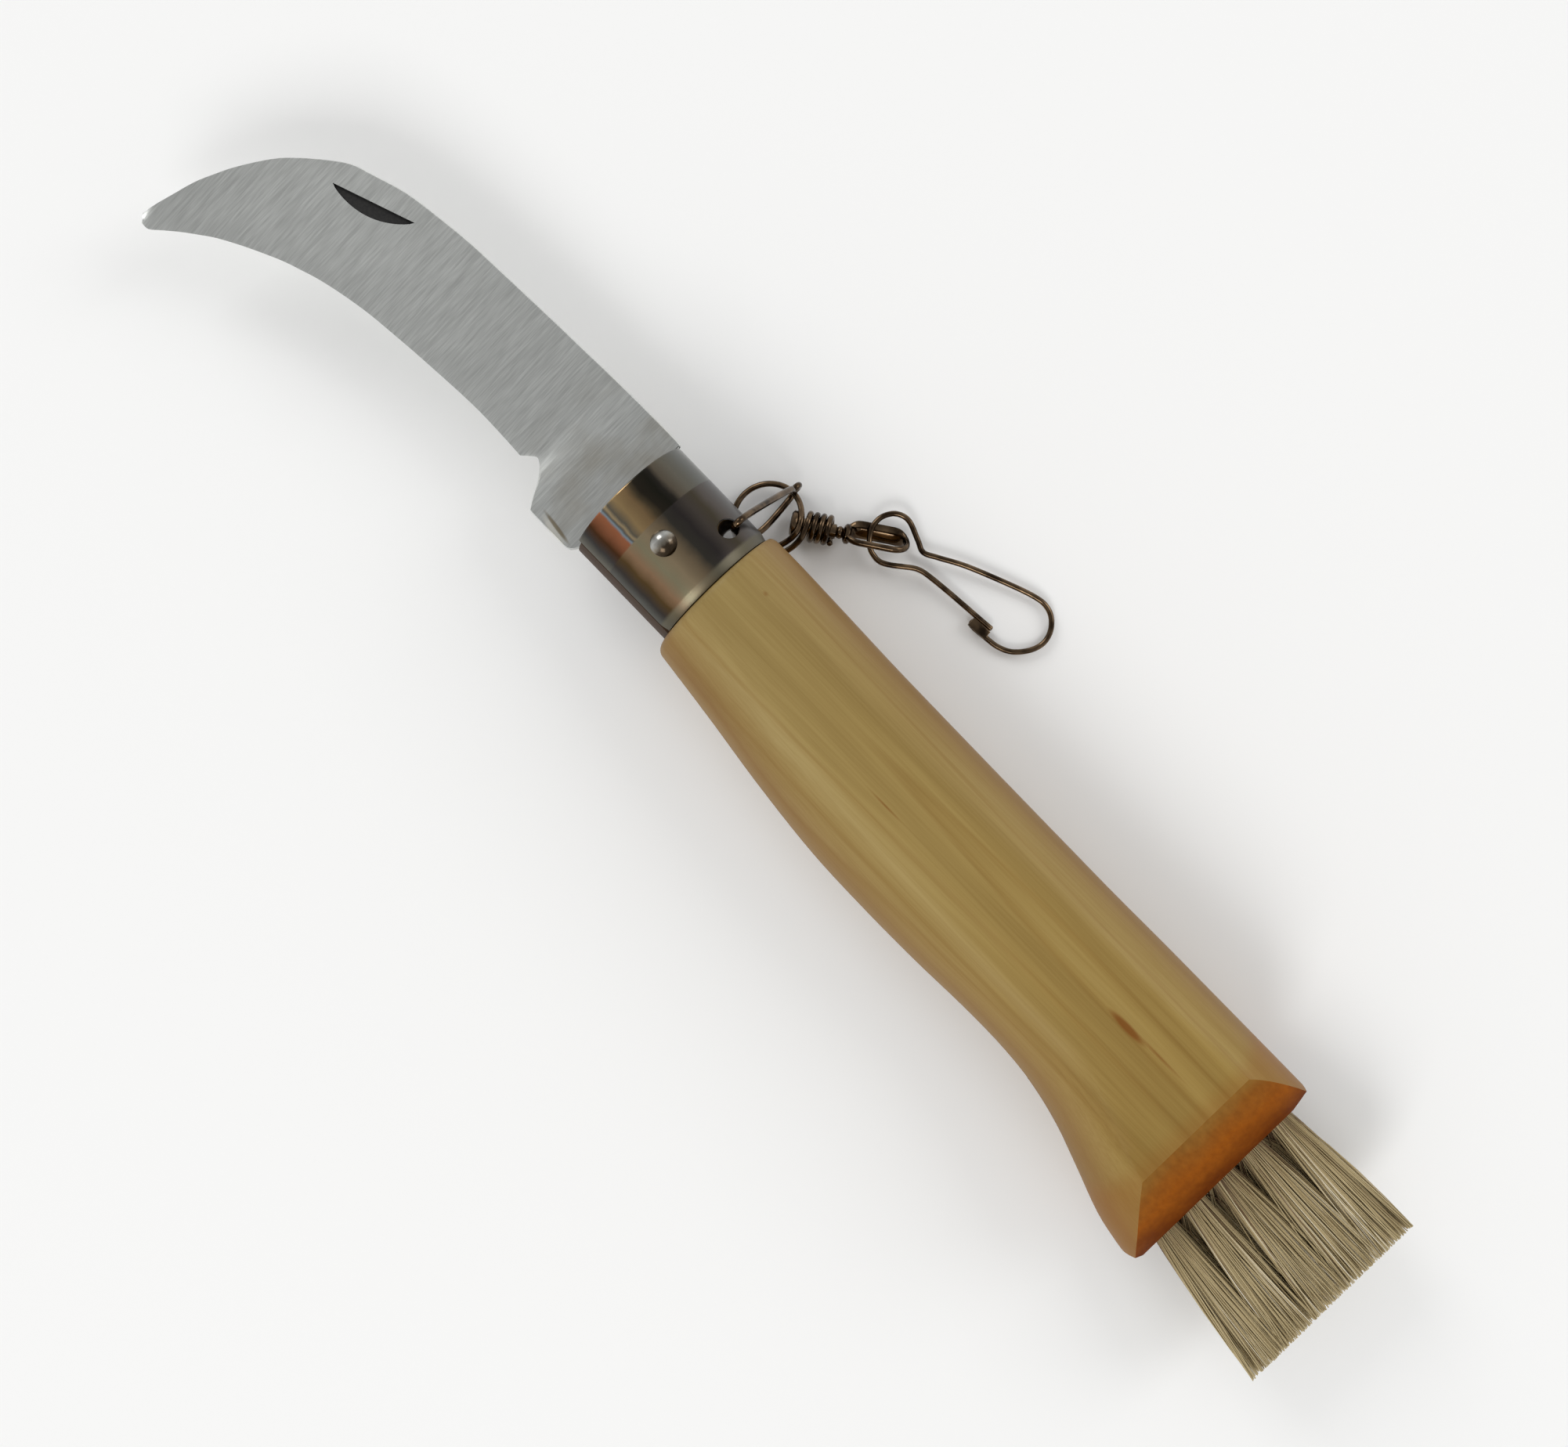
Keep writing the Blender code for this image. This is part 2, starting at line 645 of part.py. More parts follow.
def make_rivet(frame, material):
    """Rivet with a low dome at each end, lying along the pivot's axis."""
    seat = FERRULE_RADIUS + RIVET_HEAD_SEAT
    half = [(0.0, RIVET_RADIUS), (seat, RIVET_RADIUS), (seat, RIVET_HEAD_RADIUS)]
    for i in range(1, 7):
        angle = math.pi / 2 * i / 6
        half.append((seat + RIVET_HEAD_HEIGHT * math.sin(angle), RIVET_HEAD_RADIUS * math.cos(angle)))
    profile = [(-x, r) for x, r in reversed(half[1:])] + half[1:]
    body = mesh_from("pivot_rivet", lambda work: turned(work, profile, 32), math.radians(40))
    place = (PIVOT.x, PIVOT.y, 0)
    return add_object("pivot_rivet", body, frame, material, place, (0, math.pi / 2, 0))


# Blade


def blade_point(shares):
    """Point of the open blade from its shares."""
    return Vector((shares[0] * BLADE_REACH, shares[1] * BLADE_WIDTH))


def folded(point):
    """Where a point of the open blade lies once it is folded."""
    return PIVOT + Matrix.Rotation(FOLD_ANGLE, 2) @ (point - PIVOT)


def blade_pairs():
    """Spine point, edge point and edge thickness of each station, tip to tang."""
    pairs = []
    for spine_x, spine_y, edge_x, edge_y, full in BLADE_SHARES:
        thick = EDGE_THICKNESS + full * (BLADE_THICKNESS - EDGE_THICKNESS)
        pairs.append((blade_point((spine_x, spine_y)), blade_point((edge_x, edge_y)), thick))
    shoulder = -FERRULE_FRONT - GAP
    top = PIVOT.y + TANG_RADIUS
    tops = [
        Vector((shoulder, SHOULDER_TOP_SHARE * BLADE_WIDTH)),
        Vector((shoulder, top)),
        Vector((-TANG_RADIUS * 1.4, top)),
        Vector((-TANG_RADIUS * 1.1, top)),
        Vector((-TANG_RADIUS * 0.5, top)),
    ]
    for spine, heel in zip(tops, HEEL_SHARES):
        pairs.append((spine, blade_point(heel), BLADE_THICKNESS))
    for degrees in (90, 75, 60, 45, 30, 18, 8):
        angle = math.radians(degrees)
        x = TANG_RADIUS * math.cos(angle)
        y = TANG_RADIUS * math.sin(angle)
        pairs.append((PIVOT + Vector((x, y)), PIVOT + Vector((x, -y)), BLADE_THICKNESS))
    return pairs


def blade_rings():
    """Four-cornered rings across the blade, from the pivot."""
    rings = []
    for spine, edge, thick in blade_pairs():
        high = spine - PIVOT
        low = edge - PIVOT
        rings.append(
            (
                (*high, BLADE_THICKNESS / 2),
                (*low, thick / 2),
                (*low, -thick / 2),
                (*high, -BLADE_THICKNESS / 2),
            )
        )
    return rings


def nick_outline():
    """Crescent of the nail nick: straight on its spine side and bulged towards the edge."""
    left = blade_point(NICK_LEFT_SHARES)
    right = blade_point(NICK_RIGHT_SHARES)
    along = right - left
    across = Vector((along.y, -along.x)).normalized()
    points = [right, left]
    for i in range(1, 12):
        t = i / 12
        sag = NICK_BULGE * (math.sin(math.pi * t)) ** 0.75
        points.append(left + along * t + across * sag)
    return points


def make_blade(frame, material):
    """The hooked blade with its pivot bore and nail nick."""
    mesh = mesh_from("blade", lambda work: lofted(work, blade_rings()), math.radians(20))
    blade = add_object("blade", mesh, frame, material, (*PIVOT, 0))
    cut(blade, pivot_cutter("blade_bore", frame, BLADE_THICKNESS))
    floor = BLADE_THICKNESS / 2 - NICK_DEPTH
    crescent = [(p.x, p.y, floor) for p in nick_outline()]
    nick = mesh_from("nail_nick", lambda work: prism(work, crescent, (0, 0, BLADE_THICKNESS)))
    cut(blade, add_object("nail_nick", nick, frame, None))
    return blade


# Brush


def tuft_height(index):
    """Place of a tuft's axis across the butt."""
    return TUFT_ROW_CENTRE + (index - (TUFTS - 1) / 2) * TUFT_PITCH


def strand_ring(centre, radius, turn):
    """Three corners of a strand, square to the brush's length."""
    ring = []
    for k in range(3):
        angle = turn + math.tau * k / 3
        ring.append((centre[0], centre[1] + radius * math.cos(angle), centre[2] + radius * math.sin(angle)))
    return ring


def strands_of(work, index):
    """Strands of one tuft, spread evenly from its root to the trimmed end, so that none cross."""
    pick = random.Random(index + 1)
    plug_face = BUTT_END - TUFT_SINK
    root_radius = TUFT_HOLE_RADIUS - GAP - 2 * BRISTLE_ROOT_RADIUS
    end_pitch = BRUSH_END_WIDTH / TUFTS
    end_centre = BRUSH_END_CENTRE + (index - (TUFTS - 1) / 2) * end_pitch
    half_width = end_pitch / 2 - GAP / 2 - BRISTLE_TIP_RADIUS
    golden = math.pi * (3 - math.sqrt(5))
    for i in range(STRANDS_PER_TUFT):
        spread = math.sqrt((i + 0.5) / STRANDS_PER_TUFT)
        angle = golden * i
        y = spread * math.cos(angle)
        z = spread * math.sin(angle)
        turn = pick.uniform(0, math.tau)
        trim = pick.uniform(0, BRISTLE_TRIM)
        root = (plug_face - TUFT_SINK / 2, tuft_height(index) + y * root_radius, z * root_radius)
        tip = (BUTT_END + BRISTLE_LENGTH - trim, end_centre + y * half_width, z * BRUSH_END_DEPTH / 2)
        lofted(work, [strand_ring(root, BRISTLE_ROOT_RADIUS, turn), strand_ring(tip, BRISTLE_TIP_RADIUS, turn)])


def make_tuft(frame, index, material):
    """A tuft: the folded bundle in its hole, fused to its strands."""
    start = BUTT_END - TUFT_HOLE_DEPTH + 2 * GAP + ANCHOR_THICKNESS
    end = BUTT_END - TUFT_SINK
    radius = TUFT_HOLE_RADIUS - GAP
    profile = [(start, 0.0), (start, radius), (end, radius), (end, 0.0)]

    def plug(work):
        turned(work, profile, 20)
        bmesh.ops.translate(work, verts=work.verts, vec=(0, tuft_height(index), 0))

    name = f"bristle_tuft_{index + 1}"
    tuft = add_object(name, mesh_from(name, plug), frame, material)
    bundle_name = f"strands_{index + 1}"
    bundle = add_object(bundle_name, mesh_from(bundle_name, lambda work: strands_of(work, index)), frame, None)
    cut(tuft, bundle, "UNION")
    return tuft


def make_anchor(frame, index, material):
    """The flat wire that a tuft is folded over, at the bottom of its hole."""
    start = BUTT_END - TUFT_HOLE_DEPTH + GAP
    half = math.sqrt((TUFT_HOLE_RADIUS - GAP / 2) ** 2 - (ANCHOR_WIDTH / 2) ** 2)
    y = tuft_height(index)
    corners = [
        (start, y - half, -ANCHOR_WIDTH / 2),
        (start, y + half, -ANCHOR_WIDTH / 2),
        (start, y + half, ANCHOR_WIDTH / 2),
        (start, y - half, ANCHOR_WIDTH / 2),
    ]
    name = f"tuft_anchor_{index + 1}"
    bar = mesh_from(name, lambda work: prism(work, corners, (ANCHOR_THICKNESS, 0, 0)))
    return add_object(name, bar, frame, material)


# Link, swivel and snap


def swivel_axis_height():
    """Height of the swivel's axis, with the coil lying just over the surface under the handle."""
    return TABLE_CLEARANCE + COIL_RADIUS + RING_WIRE / 2 - HALF_THICKNESS


def ring_height(angle):
    """Height of the ring's centre line, which droops away from the coil."""
    return swivel_axis_height() - RING_DROOP * (1 - math.cos(angle - SWIVEL_HEADING)) / 2


def apex_offset():
    """Distance from the link's centre line to the ring's where they meet."""
    return (LINK_WIRE + RING_WIRE) / 2 + LINK_CLEARANCE


def ring_contact():
    """Point of the ring's centre line inside the link's apex, in the knife's frame."""
    x = LINK_HOLE_X + LINK_BOW * LINK_APEX_SHARE
    y = LINK_HOLE_Y + LINK_REACH - apex_offset()
    return Vector((x, y, ring_height(RING_LINK_ANGLE)))


def ring_centre():
    """Centre of the ring, at the height of the swivel's axis."""
    contact = ring_contact()
    return Vector(
        (
            contact.x - RING_RADIUS * math.cos(RING_LINK_ANGLE),
            contact.y - RING_RADIUS * math.sin(RING_LINK_ANGLE),
            swivel_axis_height(),
        )
    )


def link_path():
    """Closed centre line of the link from the cross hole's axis: through the hole, out and round the ring."""
    size = Vector((LINK_BOW, LINK_REACH, FERRULE_RADIUS))
    offset = apex_offset()
    apex = ring_contact() - Vector((LINK_HOLE_X, LINK_HOLE_Y, 0))
    turn = []
    for degrees in (90, 45, 0, -45, -80):
        angle = math.radians(degrees)
        turn.append(apex + Vector((0, offset * math.cos(angle), offset * math.sin(angle))))
    near = [Vector(shares) * size for shares in LINK_NEAR_SHARES]
    far = [Vector(shares) * size for shares in LINK_FAR_SHARES]
    return smooth_path(near + turn + far, 3, closed=True)


def make_link(frame, material):
    """The wire link, turning about the cross hole."""
    curve = wire_curve("hole_link", link_path(), LINK_WIRE, 2, closed=True)
    return add_object("hole_link", curve, frame, material, location=(LINK_HOLE_X, LINK_HOLE_Y, 0))


def swivel_directions():
    """Unit vectors along the swivel's axis, across it and up."""
    along = Vector((math.cos(SWIVEL_HEADING), math.sin(SWIVEL_HEADING), 0))
    across = Vector((-along.y, along.x, 0))
    return along, across, Vector((0, 0, 1))


def ring_path():
    """Centre line of the ring and its coil, from the ring's centre: once round, up and over, then wound."""
    along, across, up = swivel_directions()
    path = []
    first = RING_START_ANGLE
    last = math.tau
    steps = LOOP_POINTS
    for i in range(steps):
        angle = first + (last - first) * i / steps
        lift = min(max((angle - (last - RING_RISE_ANGLE)) / RING_RISE_ANGLE, 0.0), 1.0)
        smooth = lift * lift * (3 - 2 * lift)
        level = ring_height(angle + SWIVEL_HEADING) - swivel_axis_height()
        height = level * (1 - smooth) + COIL_RADIUS * smooth
        path.append(along * RING_RADIUS * math.cos(angle) + across * RING_RADIUS * math.sin(angle) + up * height)
    pitch = RING_WIRE + COIL_GAP
    for i in range(round(COIL_TURNS * LOOP_POINTS) + 1):
        turn = math.tau * i / LOOP_POINTS
        place = RING_RADIUS + pitch * turn / math.tau
        path.append(along * place + across * COIL_RADIUS * math.sin(turn) + up * COIL_RADIUS * math.cos(turn))
    return path


def make_ring(frame, material):
    """The ring and its coil in one wire, turning about the link's apex."""
    origin = ring_contact()
    path = [ring_centre() + point - origin for point in ring_path()]
    gap = least_gap_of(path, RING_WIRE, 3 * RING_WIRE)
    print(f"coil: least gap to itself {gap / MM:.3f} mm")
    curve = wire_curve("swivel_ring", path, RING_WIRE, 1)
    return add_object("swivel_ring", curve, frame, material, location=origin)


def eye_base_place():
    """Where the eye's base starts along the swivel's axis, past the coil and the bead."""
    coil_end = RING_RADIUS + (RING_WIRE + COIL_GAP) * COIL_TURNS + RING_WIRE / 2
    return coil_end + GAP + BEAD_LENGTH


def eye_profile():
    """Turned outline of the button, the shank, the bead and the eye's base, along the swivel's axis."""
    button_end = RING_RADIUS - RING_WIRE / 2 - 2 * GAP
    button = button_end - BUTTON_THICKNESS
    base = eye_base_place()
    bead = base - BEAD_LENGTH
    return [
        (button, 0.0),
        (button, BUTTON_RADIUS * 0.8),
        (button + BUTTON_THICKNESS * 0.3, BUTTON_RADIUS),
        (button_end - BUTTON_THICKNESS * 0.25, BUTTON_RADIUS),
        (button_end, BUTTON_RADIUS * 0.9),
        (button_end, SHANK_RADIUS),
        (bead - GAP / 2, SHANK_RADIUS),
        (bead, NECK_RADIUS),
        (bead + BEAD_LENGTH * 0.3, BEAD_RADIUS),
        (bead + BEAD_LENGTH * 0.7, BEAD_RADIUS),
        (base, NECK_RADIUS),
        (base + EYE_BASE_LENGTH * 0.3, EYE_BASE_RADIUS),
        (base + EYE_BASE_LENGTH * 0.7, EYE_BASE_RADIUS),
        (base + EYE_BASE_LENGTH, EYE_BASE_RADIUS * 0.6),
        (base + EYE_BASE_LENGTH, 0.0),
    ]


def eye_centre_place():
    """Where the middle of the oval eye lies along the swivel's axis."""
    return eye_base_place() + EYE_WIRE / 2 + EYE_LENGTH / 2


def eye_loop():
    """Closed centre line of the oval eye: two straight sides and two round ends."""
    straight = EYE_LENGTH / 2 - EYE_HALF_WIDTH
    centre = eye_centre_place()
    path = []
    for end, first in ((1, -math.pi / 2), (-1, math.pi / 2)):
        for i in range(11):
            angle = first + math.pi * i / 10
            x = centre + end * straight + EYE_HALF_WIDTH * math.cos(angle)
            path.append(Vector((x, EYE_HALF_WIDTH * math.sin(angle), 0)))
    return path


def mesh_of(curve_object):
    """The mesh that a curve object shows."""
    graph = bpy.context.evaluated_depsgraph_get()
    return bpy.data.meshes.new_from_object(curve_object.evaluated_get(graph))


def make_eye(frame, material):
    """The swivel's turning half, with its shank in the coil."""
    body = mesh_from("swivel_eye", lambda work: turned(work, eye_profile(), 24), math.radians(40))
    turn = (EYE_ROLL, 0, SWIVEL_HEADING)
    eye = add_object("swivel_eye", body, frame, material, ring_centre(), turn)
    guide = add_object("eye_guide", wire_curve("eye_guide", eye_loop(), EYE_WIRE, 2, closed=True), frame, None)
    loop = add_object("eye_loop", mesh_of(guide), frame, None, ring_centre(), turn)
    bpy.data.objects.remove(guide, do_unlink=True)
    cut(eye, loop, "UNION")
    return eye


def snap_origin():
    """Place where the snap's wire threads the eye, in the knife's frame."""
    along, across, up = swivel_directions()
    middle = eye_centre_place() - EYE_HALF_WIDTH * SNAP_THREAD_SHARE
    return ring_centre() + along * middle + across * SNAP_SIDESTEP - up * SNAP_DROP


def snap_path(shares, steps):
    """Centre line in the snap's plane."""
    points = [(x * SNAP_LENGTH, y * SNAP_WIDTH, 0) for x, y in shares]
    return smooth_path(points, steps)


def make_snap(frame, material):
    """The bent wire of the snap, without its gate arm."""
    curve = wire_curve("snap_hook", snap_path(SNAP_HOOK_SHARES, 3), SNAP_WIRE, 2)
    return add_object("snap_hook", curve, frame, material, snap_origin(), (0, SNAP_PITCH, 0))


def gate_root():
    """Root of the gate arm in the snap's plane."""
    x, y = SNAP_GATE_SHARES[0]
    return Vector((x * SNAP_LENGTH, y * SNAP_WIDTH, 0))


def make_gate(frame, material):
    """The gate arm, turning about its root."""
    root = gate_root()
    path = [point - root for point in snap_path(SNAP_GATE_SHARES, 3)]
    curve = wire_curve("snap_gate", path, SNAP_WIRE, 2)
    turn = Matrix.Rotation(SNAP_PITCH, 3, "Y")
    return add_object("snap_gate", curve, frame, material, snap_origin() + turn @ root, (0, SNAP_PITCH, 0))


def main():
    """Builds the knife."""
    clear_scene()
    frame = bpy.data.objects.new("knife_frame", None)
    bpy.context.scene.collection.objects.link(frame)
    frame.location = -rest_point()
    make_handle(frame, new_material("pale_wood", WOOD, 0.5, 0.0))
    make_ferrule(frame, new_material("dark_polished_steel", DARK_STEEL, 0.2, 1.0))
    make_rivet(frame, new_material("rivet_steel", STEEL, 0.2, 1.0))
    make_blade(frame, new_material("satin_steel", STEEL, 0.35, 1.0))
    for i in range(TUFTS):
        make_tuft(frame, i, new_material(f"bristle_{i + 1}", BRISTLE, 0.6, 0.0))
        make_anchor(frame, i, new_material(f"anchor_wire_{i + 1}", STEEL, 0.4, 1.0))
    make_link(frame, new_material("link_wire", NICKEL, 0.3, 1.0))
    make_ring(frame, new_material("ring_wire", NICKEL, 0.3, 1.0))
    make_eye(frame, new_material("eye_metal", NICKEL, 0.3, 1.0))
    make_snap(frame, new_material("snap_wire", NICKEL, 0.3, 1.0))
    make_gate(frame, new_material("gate_wire", NICKEL, 0.3, 1.0))


main()
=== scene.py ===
"""Looks of a folding mushroom knife: wood, steel, wire and bristle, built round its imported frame.

Every shape is worked out in millimetres in the knife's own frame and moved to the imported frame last. In the
knife's frame the collar's axis is +X towards the butt, the pivot stands at x = 0, +Y is the spine side and
the blade's middle plane is z = 0.
"""

import logging
import math
import random
from collections.abc import Sequence
from dataclasses import dataclass
from enum import Enum

import bmesh
import bpy
from mathutils import Matrix, Vector


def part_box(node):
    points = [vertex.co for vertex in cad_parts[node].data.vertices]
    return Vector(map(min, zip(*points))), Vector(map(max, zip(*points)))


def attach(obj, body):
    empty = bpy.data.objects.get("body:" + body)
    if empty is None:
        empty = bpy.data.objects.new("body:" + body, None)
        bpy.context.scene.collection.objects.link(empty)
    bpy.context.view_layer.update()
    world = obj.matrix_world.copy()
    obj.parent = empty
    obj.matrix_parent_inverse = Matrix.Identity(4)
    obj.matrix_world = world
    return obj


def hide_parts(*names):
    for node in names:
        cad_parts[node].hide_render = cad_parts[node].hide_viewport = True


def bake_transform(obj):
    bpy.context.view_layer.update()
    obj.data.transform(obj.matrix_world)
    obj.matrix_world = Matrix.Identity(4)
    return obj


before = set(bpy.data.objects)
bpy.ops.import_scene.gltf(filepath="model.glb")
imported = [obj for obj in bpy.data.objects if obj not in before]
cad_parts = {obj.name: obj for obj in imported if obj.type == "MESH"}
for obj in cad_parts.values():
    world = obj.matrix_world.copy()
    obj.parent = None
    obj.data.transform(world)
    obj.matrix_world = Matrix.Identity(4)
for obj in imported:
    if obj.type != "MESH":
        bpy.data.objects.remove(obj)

LOG = logging.getLogger("mushroom_knife")
MM = 0.001
# Points nearer than these many millimetres are one point, on a shape and on a bristle
WELD = 0.0005
STRAND_WELD = 0.0001
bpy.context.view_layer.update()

Rows = tuple[tuple[float, ...], ...]
Pair = tuple[float, float]
Triple = tuple[float, float, float]
Stops = Sequence[tuple[float, str]]
Path = list[Vector]
Solid = bmesh.types.BMesh
Mesh = bpy.types.Mesh
Piece = bpy.types.Object
Tree = bpy.types.NodeTree
Socket = bpy.types.NodeSocket
Value = float | int | str | tuple[float, ...] | Socket
Inputs = dict[str | int, Value]


class Body(Enum):
    """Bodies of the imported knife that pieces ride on."""

    HANDLE = "handle_body"
    BLADE = "blade"
    LINK = "link"
    RING = "ring"
    EYE = "eye"
    SNAP = "snap"
    GATE = "gate"


class Cut(Enum):
    """What one solid does to another."""

    AWAY = "DIFFERENCE"
    WITHIN = "INTERSECT"
    JOINED = "UNION"


@dataclass(frozen=True)
class Layout:
    """Sizes that several pieces share."""

    collar_radius: float = 10.2
    collar_front: float = 9.3
    collar_rear: float = 8.5
    collar_sheet: float = 0.8
    collar_gap: float = 28.0
    half_thickness: float = 11.3
    wood_start: float = 8.8
    wood_length: float = 108.4
    pivot_y: float = -1.0
    # How far cutters reach past what they cut
    overrun: float = 3.0
    link_hole: Pair = (4.3, 6.9)
    link_hole_radius: float = 1.5

    @property
    def butt_end(self) -> float:
        """Place of the wood's end face."""
        return self.wood_start + self.wood_length

    @property
    def cutter_height(self) -> float:
        """Height from which a cutter starts that goes through the whole knife."""
        return self.half_thickness + self.overrun

    @property
    def pivot(self) -> Vector:
        """Place of the rivet's axis."""
        return Vector((0.0, self.pivot_y))

    def to_frame(self) -> Matrix:
        """Matrix from the knife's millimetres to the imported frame, found from the rivet.

        Returns:
            The scale and the shift in one matrix.
        """
        low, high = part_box("pivot_rivet")
        origin = (low + high) / 2 - Vector((0.0, self.pivot_y * MM, 0.0))
        return Matrix.Translation(origin) @ Matrix.Scale(MM, 4)


LAYOUT = Layout()
TO_FRAME = LAYOUT.to_frame()


# Shapes


def interpolated(table: Rows, share: float) -> float:
    """Reads a table of places and values on a smooth curve through its points.

    Args:
        table: Pairs of place and value, in order.
        share: Place to read.

    Returns:
        The value there.
    """
    index = max(i for i in range(len(table) - 1) if i == 0 or table[i][0] < share)
    (x0, y0), (x1, y1) = table[index][:2], table[index + 1][:2]
    before = table[max(index - 1, 0)]
    after = table[min(index + 2, len(table) - 1)]
    slope0 = (y1 - before[1]) / (x1 - before[0])
    slope1 = (after[1] - y0) / (after[0] - x0)
    width = x1 - x0
    t = (share - x0) / width
    ends = (1 + 2 * t) * (1 - t) ** 2 * y0 + t * t * (3 - 2 * t) * y1
    return ends + (t * (1 - t) ** 2 * slope0 - t * t * (1 - t) * slope1) * width


def smooth_rows(rows: Sequence[Sequence[float]], steps: int, closed: bool = False) -> list[Vector]:
    """Points on a Catmull-Rom curve through rows of numbers.

    Args:
        rows: Points of any dimension.
        steps: Points made for each span.
        closed: Whether the curve runs on from its last point to its first.

    Returns:
        The points of the curve.
    """
    source = [Vector(row) for row in rows]
    count = len(source)
    path = []
    for i in range(count if closed else count - 1):
        if closed:
            a, b, c, d = (source[(i + k) % count] for k in (-1, 0, 1, 2))
        else:
            a, b, c, d = (source[min(max(i + k, 0), count - 1)] for k in (-1, 0, 1, 2))
        for step in range(steps):
            t = step / steps
            bend = (2 * a - 5 * b + 4 * c - d) * t * t + (3 * b - a - 3 * c + d) * t**3
            path.append(0.5 * (2 * b + (c - a) * t + bend))
    if not closed:
        path.append(source[-1])
    return path


def skinned(rings: Sequence[Path], looped: bool = False) -> Solid:
    """Wraps a grid round rings of equal length, closes its seam and fills its open ends.

    Args:
        rings: Closed rings of points, first to last.
        looped: Whether the last ring meets the first again.

    Returns:
        A closed shell with its faces outwards.
    """
    work = bmesh.new()
    around = len(rings[0])
    rows = list(rings) + ([rings[0]] if looped else [])
    bmesh.ops.create_grid(work, x_segments=around, y_segments=len(rows) - 1, size=1.0)
    for index, vertex in enumerate(list(work.verts)):
        row, place = divmod(index, around + 1)
        vertex.co = rows[row][place % around]
    bmesh.ops.remove_doubles(work, verts=work.verts, dist=WELD)
    bmesh.ops.holes_fill(work, edges=[edge for edge in work.edges if edge.is_boundary], sides=0)
    bmesh.ops.recalc_face_normals(work, faces=work.faces)
    return work


def prism(outline: Sequence[Sequence[float]], direction: Sequence[float]) -> Solid:
    """Extrudes a flat outline.

    Args:
        outline: Corner points.
        direction: How far and which way they go.

    Returns:
        A closed solid.
    """
    work = bmesh.new()
    corners = [work.verts.new(point) for point in outline]
    face = bmesh.ops.contextual_create(work, geom=corners)["faces"][0]
    made = bmesh.ops.extrude_face_region(work, geom=[face])["geom"]
    moved = [item for item in made if isinstance(item, bmesh.types.BMVert)]
    bmesh.ops.translate(work, verts=moved, vec=direction)
    bmesh.ops.recalc_face_normals(work, faces=work.faces)
    return work


def drill(start: Sequence[float], end: Sequence[float], radius: float, segments: int = 48) -> Solid:
    """A round cutter between two points.

    Args:
        start: Middle of its first end.
        end: Middle of its other end.
        radius: Its radius.
        segments: Sides round it.

    Returns:
        A closed cylinder.
    """
    along = Vector(end) - Vector(start)
    turn = along.to_track_quat("Z", "Y").to_matrix().to_4x4()
    place = Matrix.Translation((Vector(start) + Vector(end)) / 2) @ turn
    work = bmesh.new()
    bmesh.ops.create_cone(
        work,
        cap_ends=True,
        segments=segments,
        radius1=radius,
        radius2=radius,
        depth=along.length,
        matrix=place,
    )
    return work


def through(place: Sequence[float], reach: float, radius: float) -> Solid:
    """A round cutter straight through the knife.

    Args:
        place: The hole's X and Y.
        reach: How far it goes to each side of the middle plane.
        radius: The hole's radius.

    Returns:
        The cutter.
    """
    x, y = place
    return drill((x, y, -reach), (x, y, reach), radius)


def turned(profile: Rows, segments: int, axis: Sequence[float]) -> Solid:
    """Turns a profile once round an axis.

    Args:
        profile: Pairs of place along the axis and radius.
        segments: Sides round it.
        axis: Unit vector of the axis, which is X or Z.

    Returns:
        A closed solid.
    """
    work = bmesh.new()
    out = Vector((0, 1, 0))
    line = [work.verts.new(Vector(axis) * along + out * radius) for along, radius in profile]
    edges = [work.edges.new(pair) for pair in zip(line, line[1:])]
    bmesh.ops.spin(
        work, geom=line + edges, cent=(0, 0, 0), axis=axis, angle=math.tau, steps=segments, use_merge=True
    )
    bmesh.ops.remove_doubles(work, verts=work.verts, dist=WELD)
    bmesh.ops.recalc_face_normals(work, faces=work.faces)
    return work


def wire_frames(path: Path, closed: bool, up: Vector | None) -> list[tuple[Vector, Vector]]:
    """Two directions square to a path at each of its points, turning as little as they can.

    Args:
        path: Points of the centre line.
        closed: Whether the path runs round.
        up: Direction to keep one of them at, or None to carry them along.

    Returns:
        A pair of unit vectors for each point.
    """
    count = len(path)
    tangents = []
    for i in range(count):
        if closed:
            ahead, behind = path[(i + 1) % count], path[i - 1]
        else:
            ahead, behind = path[min(i + 1, count - 1)], path[max(i - 1, 0)]
        tangents.append((ahead - behind).normalized())
    if up is not None:
        return [(tangent.cross(up).normalized(), up) for tangent in tangents]
    side = tangents[0].orthogonal().normalized()
    sides = []
    for tangent in tangents:
        side = (side - tangent * side.dot(tangent)).normalized()
        sides.append(side)
    twist = 0.0
    if closed:
        back = (side - tangents[0] * side.dot(tangents[0])).normalized()
        twist = math.atan2(back.cross(sides[0]).dot(tangents[0]), back.dot(sides[0]))
    pairs = []
    for i, (side, tangent) in enumerate(zip(sides, tangents)):
        side = Matrix.Rotation(twist * i / count, 3, tangent) @ side
        pairs.append((side, tangent.cross(side)))
    return pairs


# Angles up a wire's domed end, and how far the dome reaches as a share of the wire's radius
DOME_DEGREES = (25, 50, 72)
DOME_REACH = 0.6


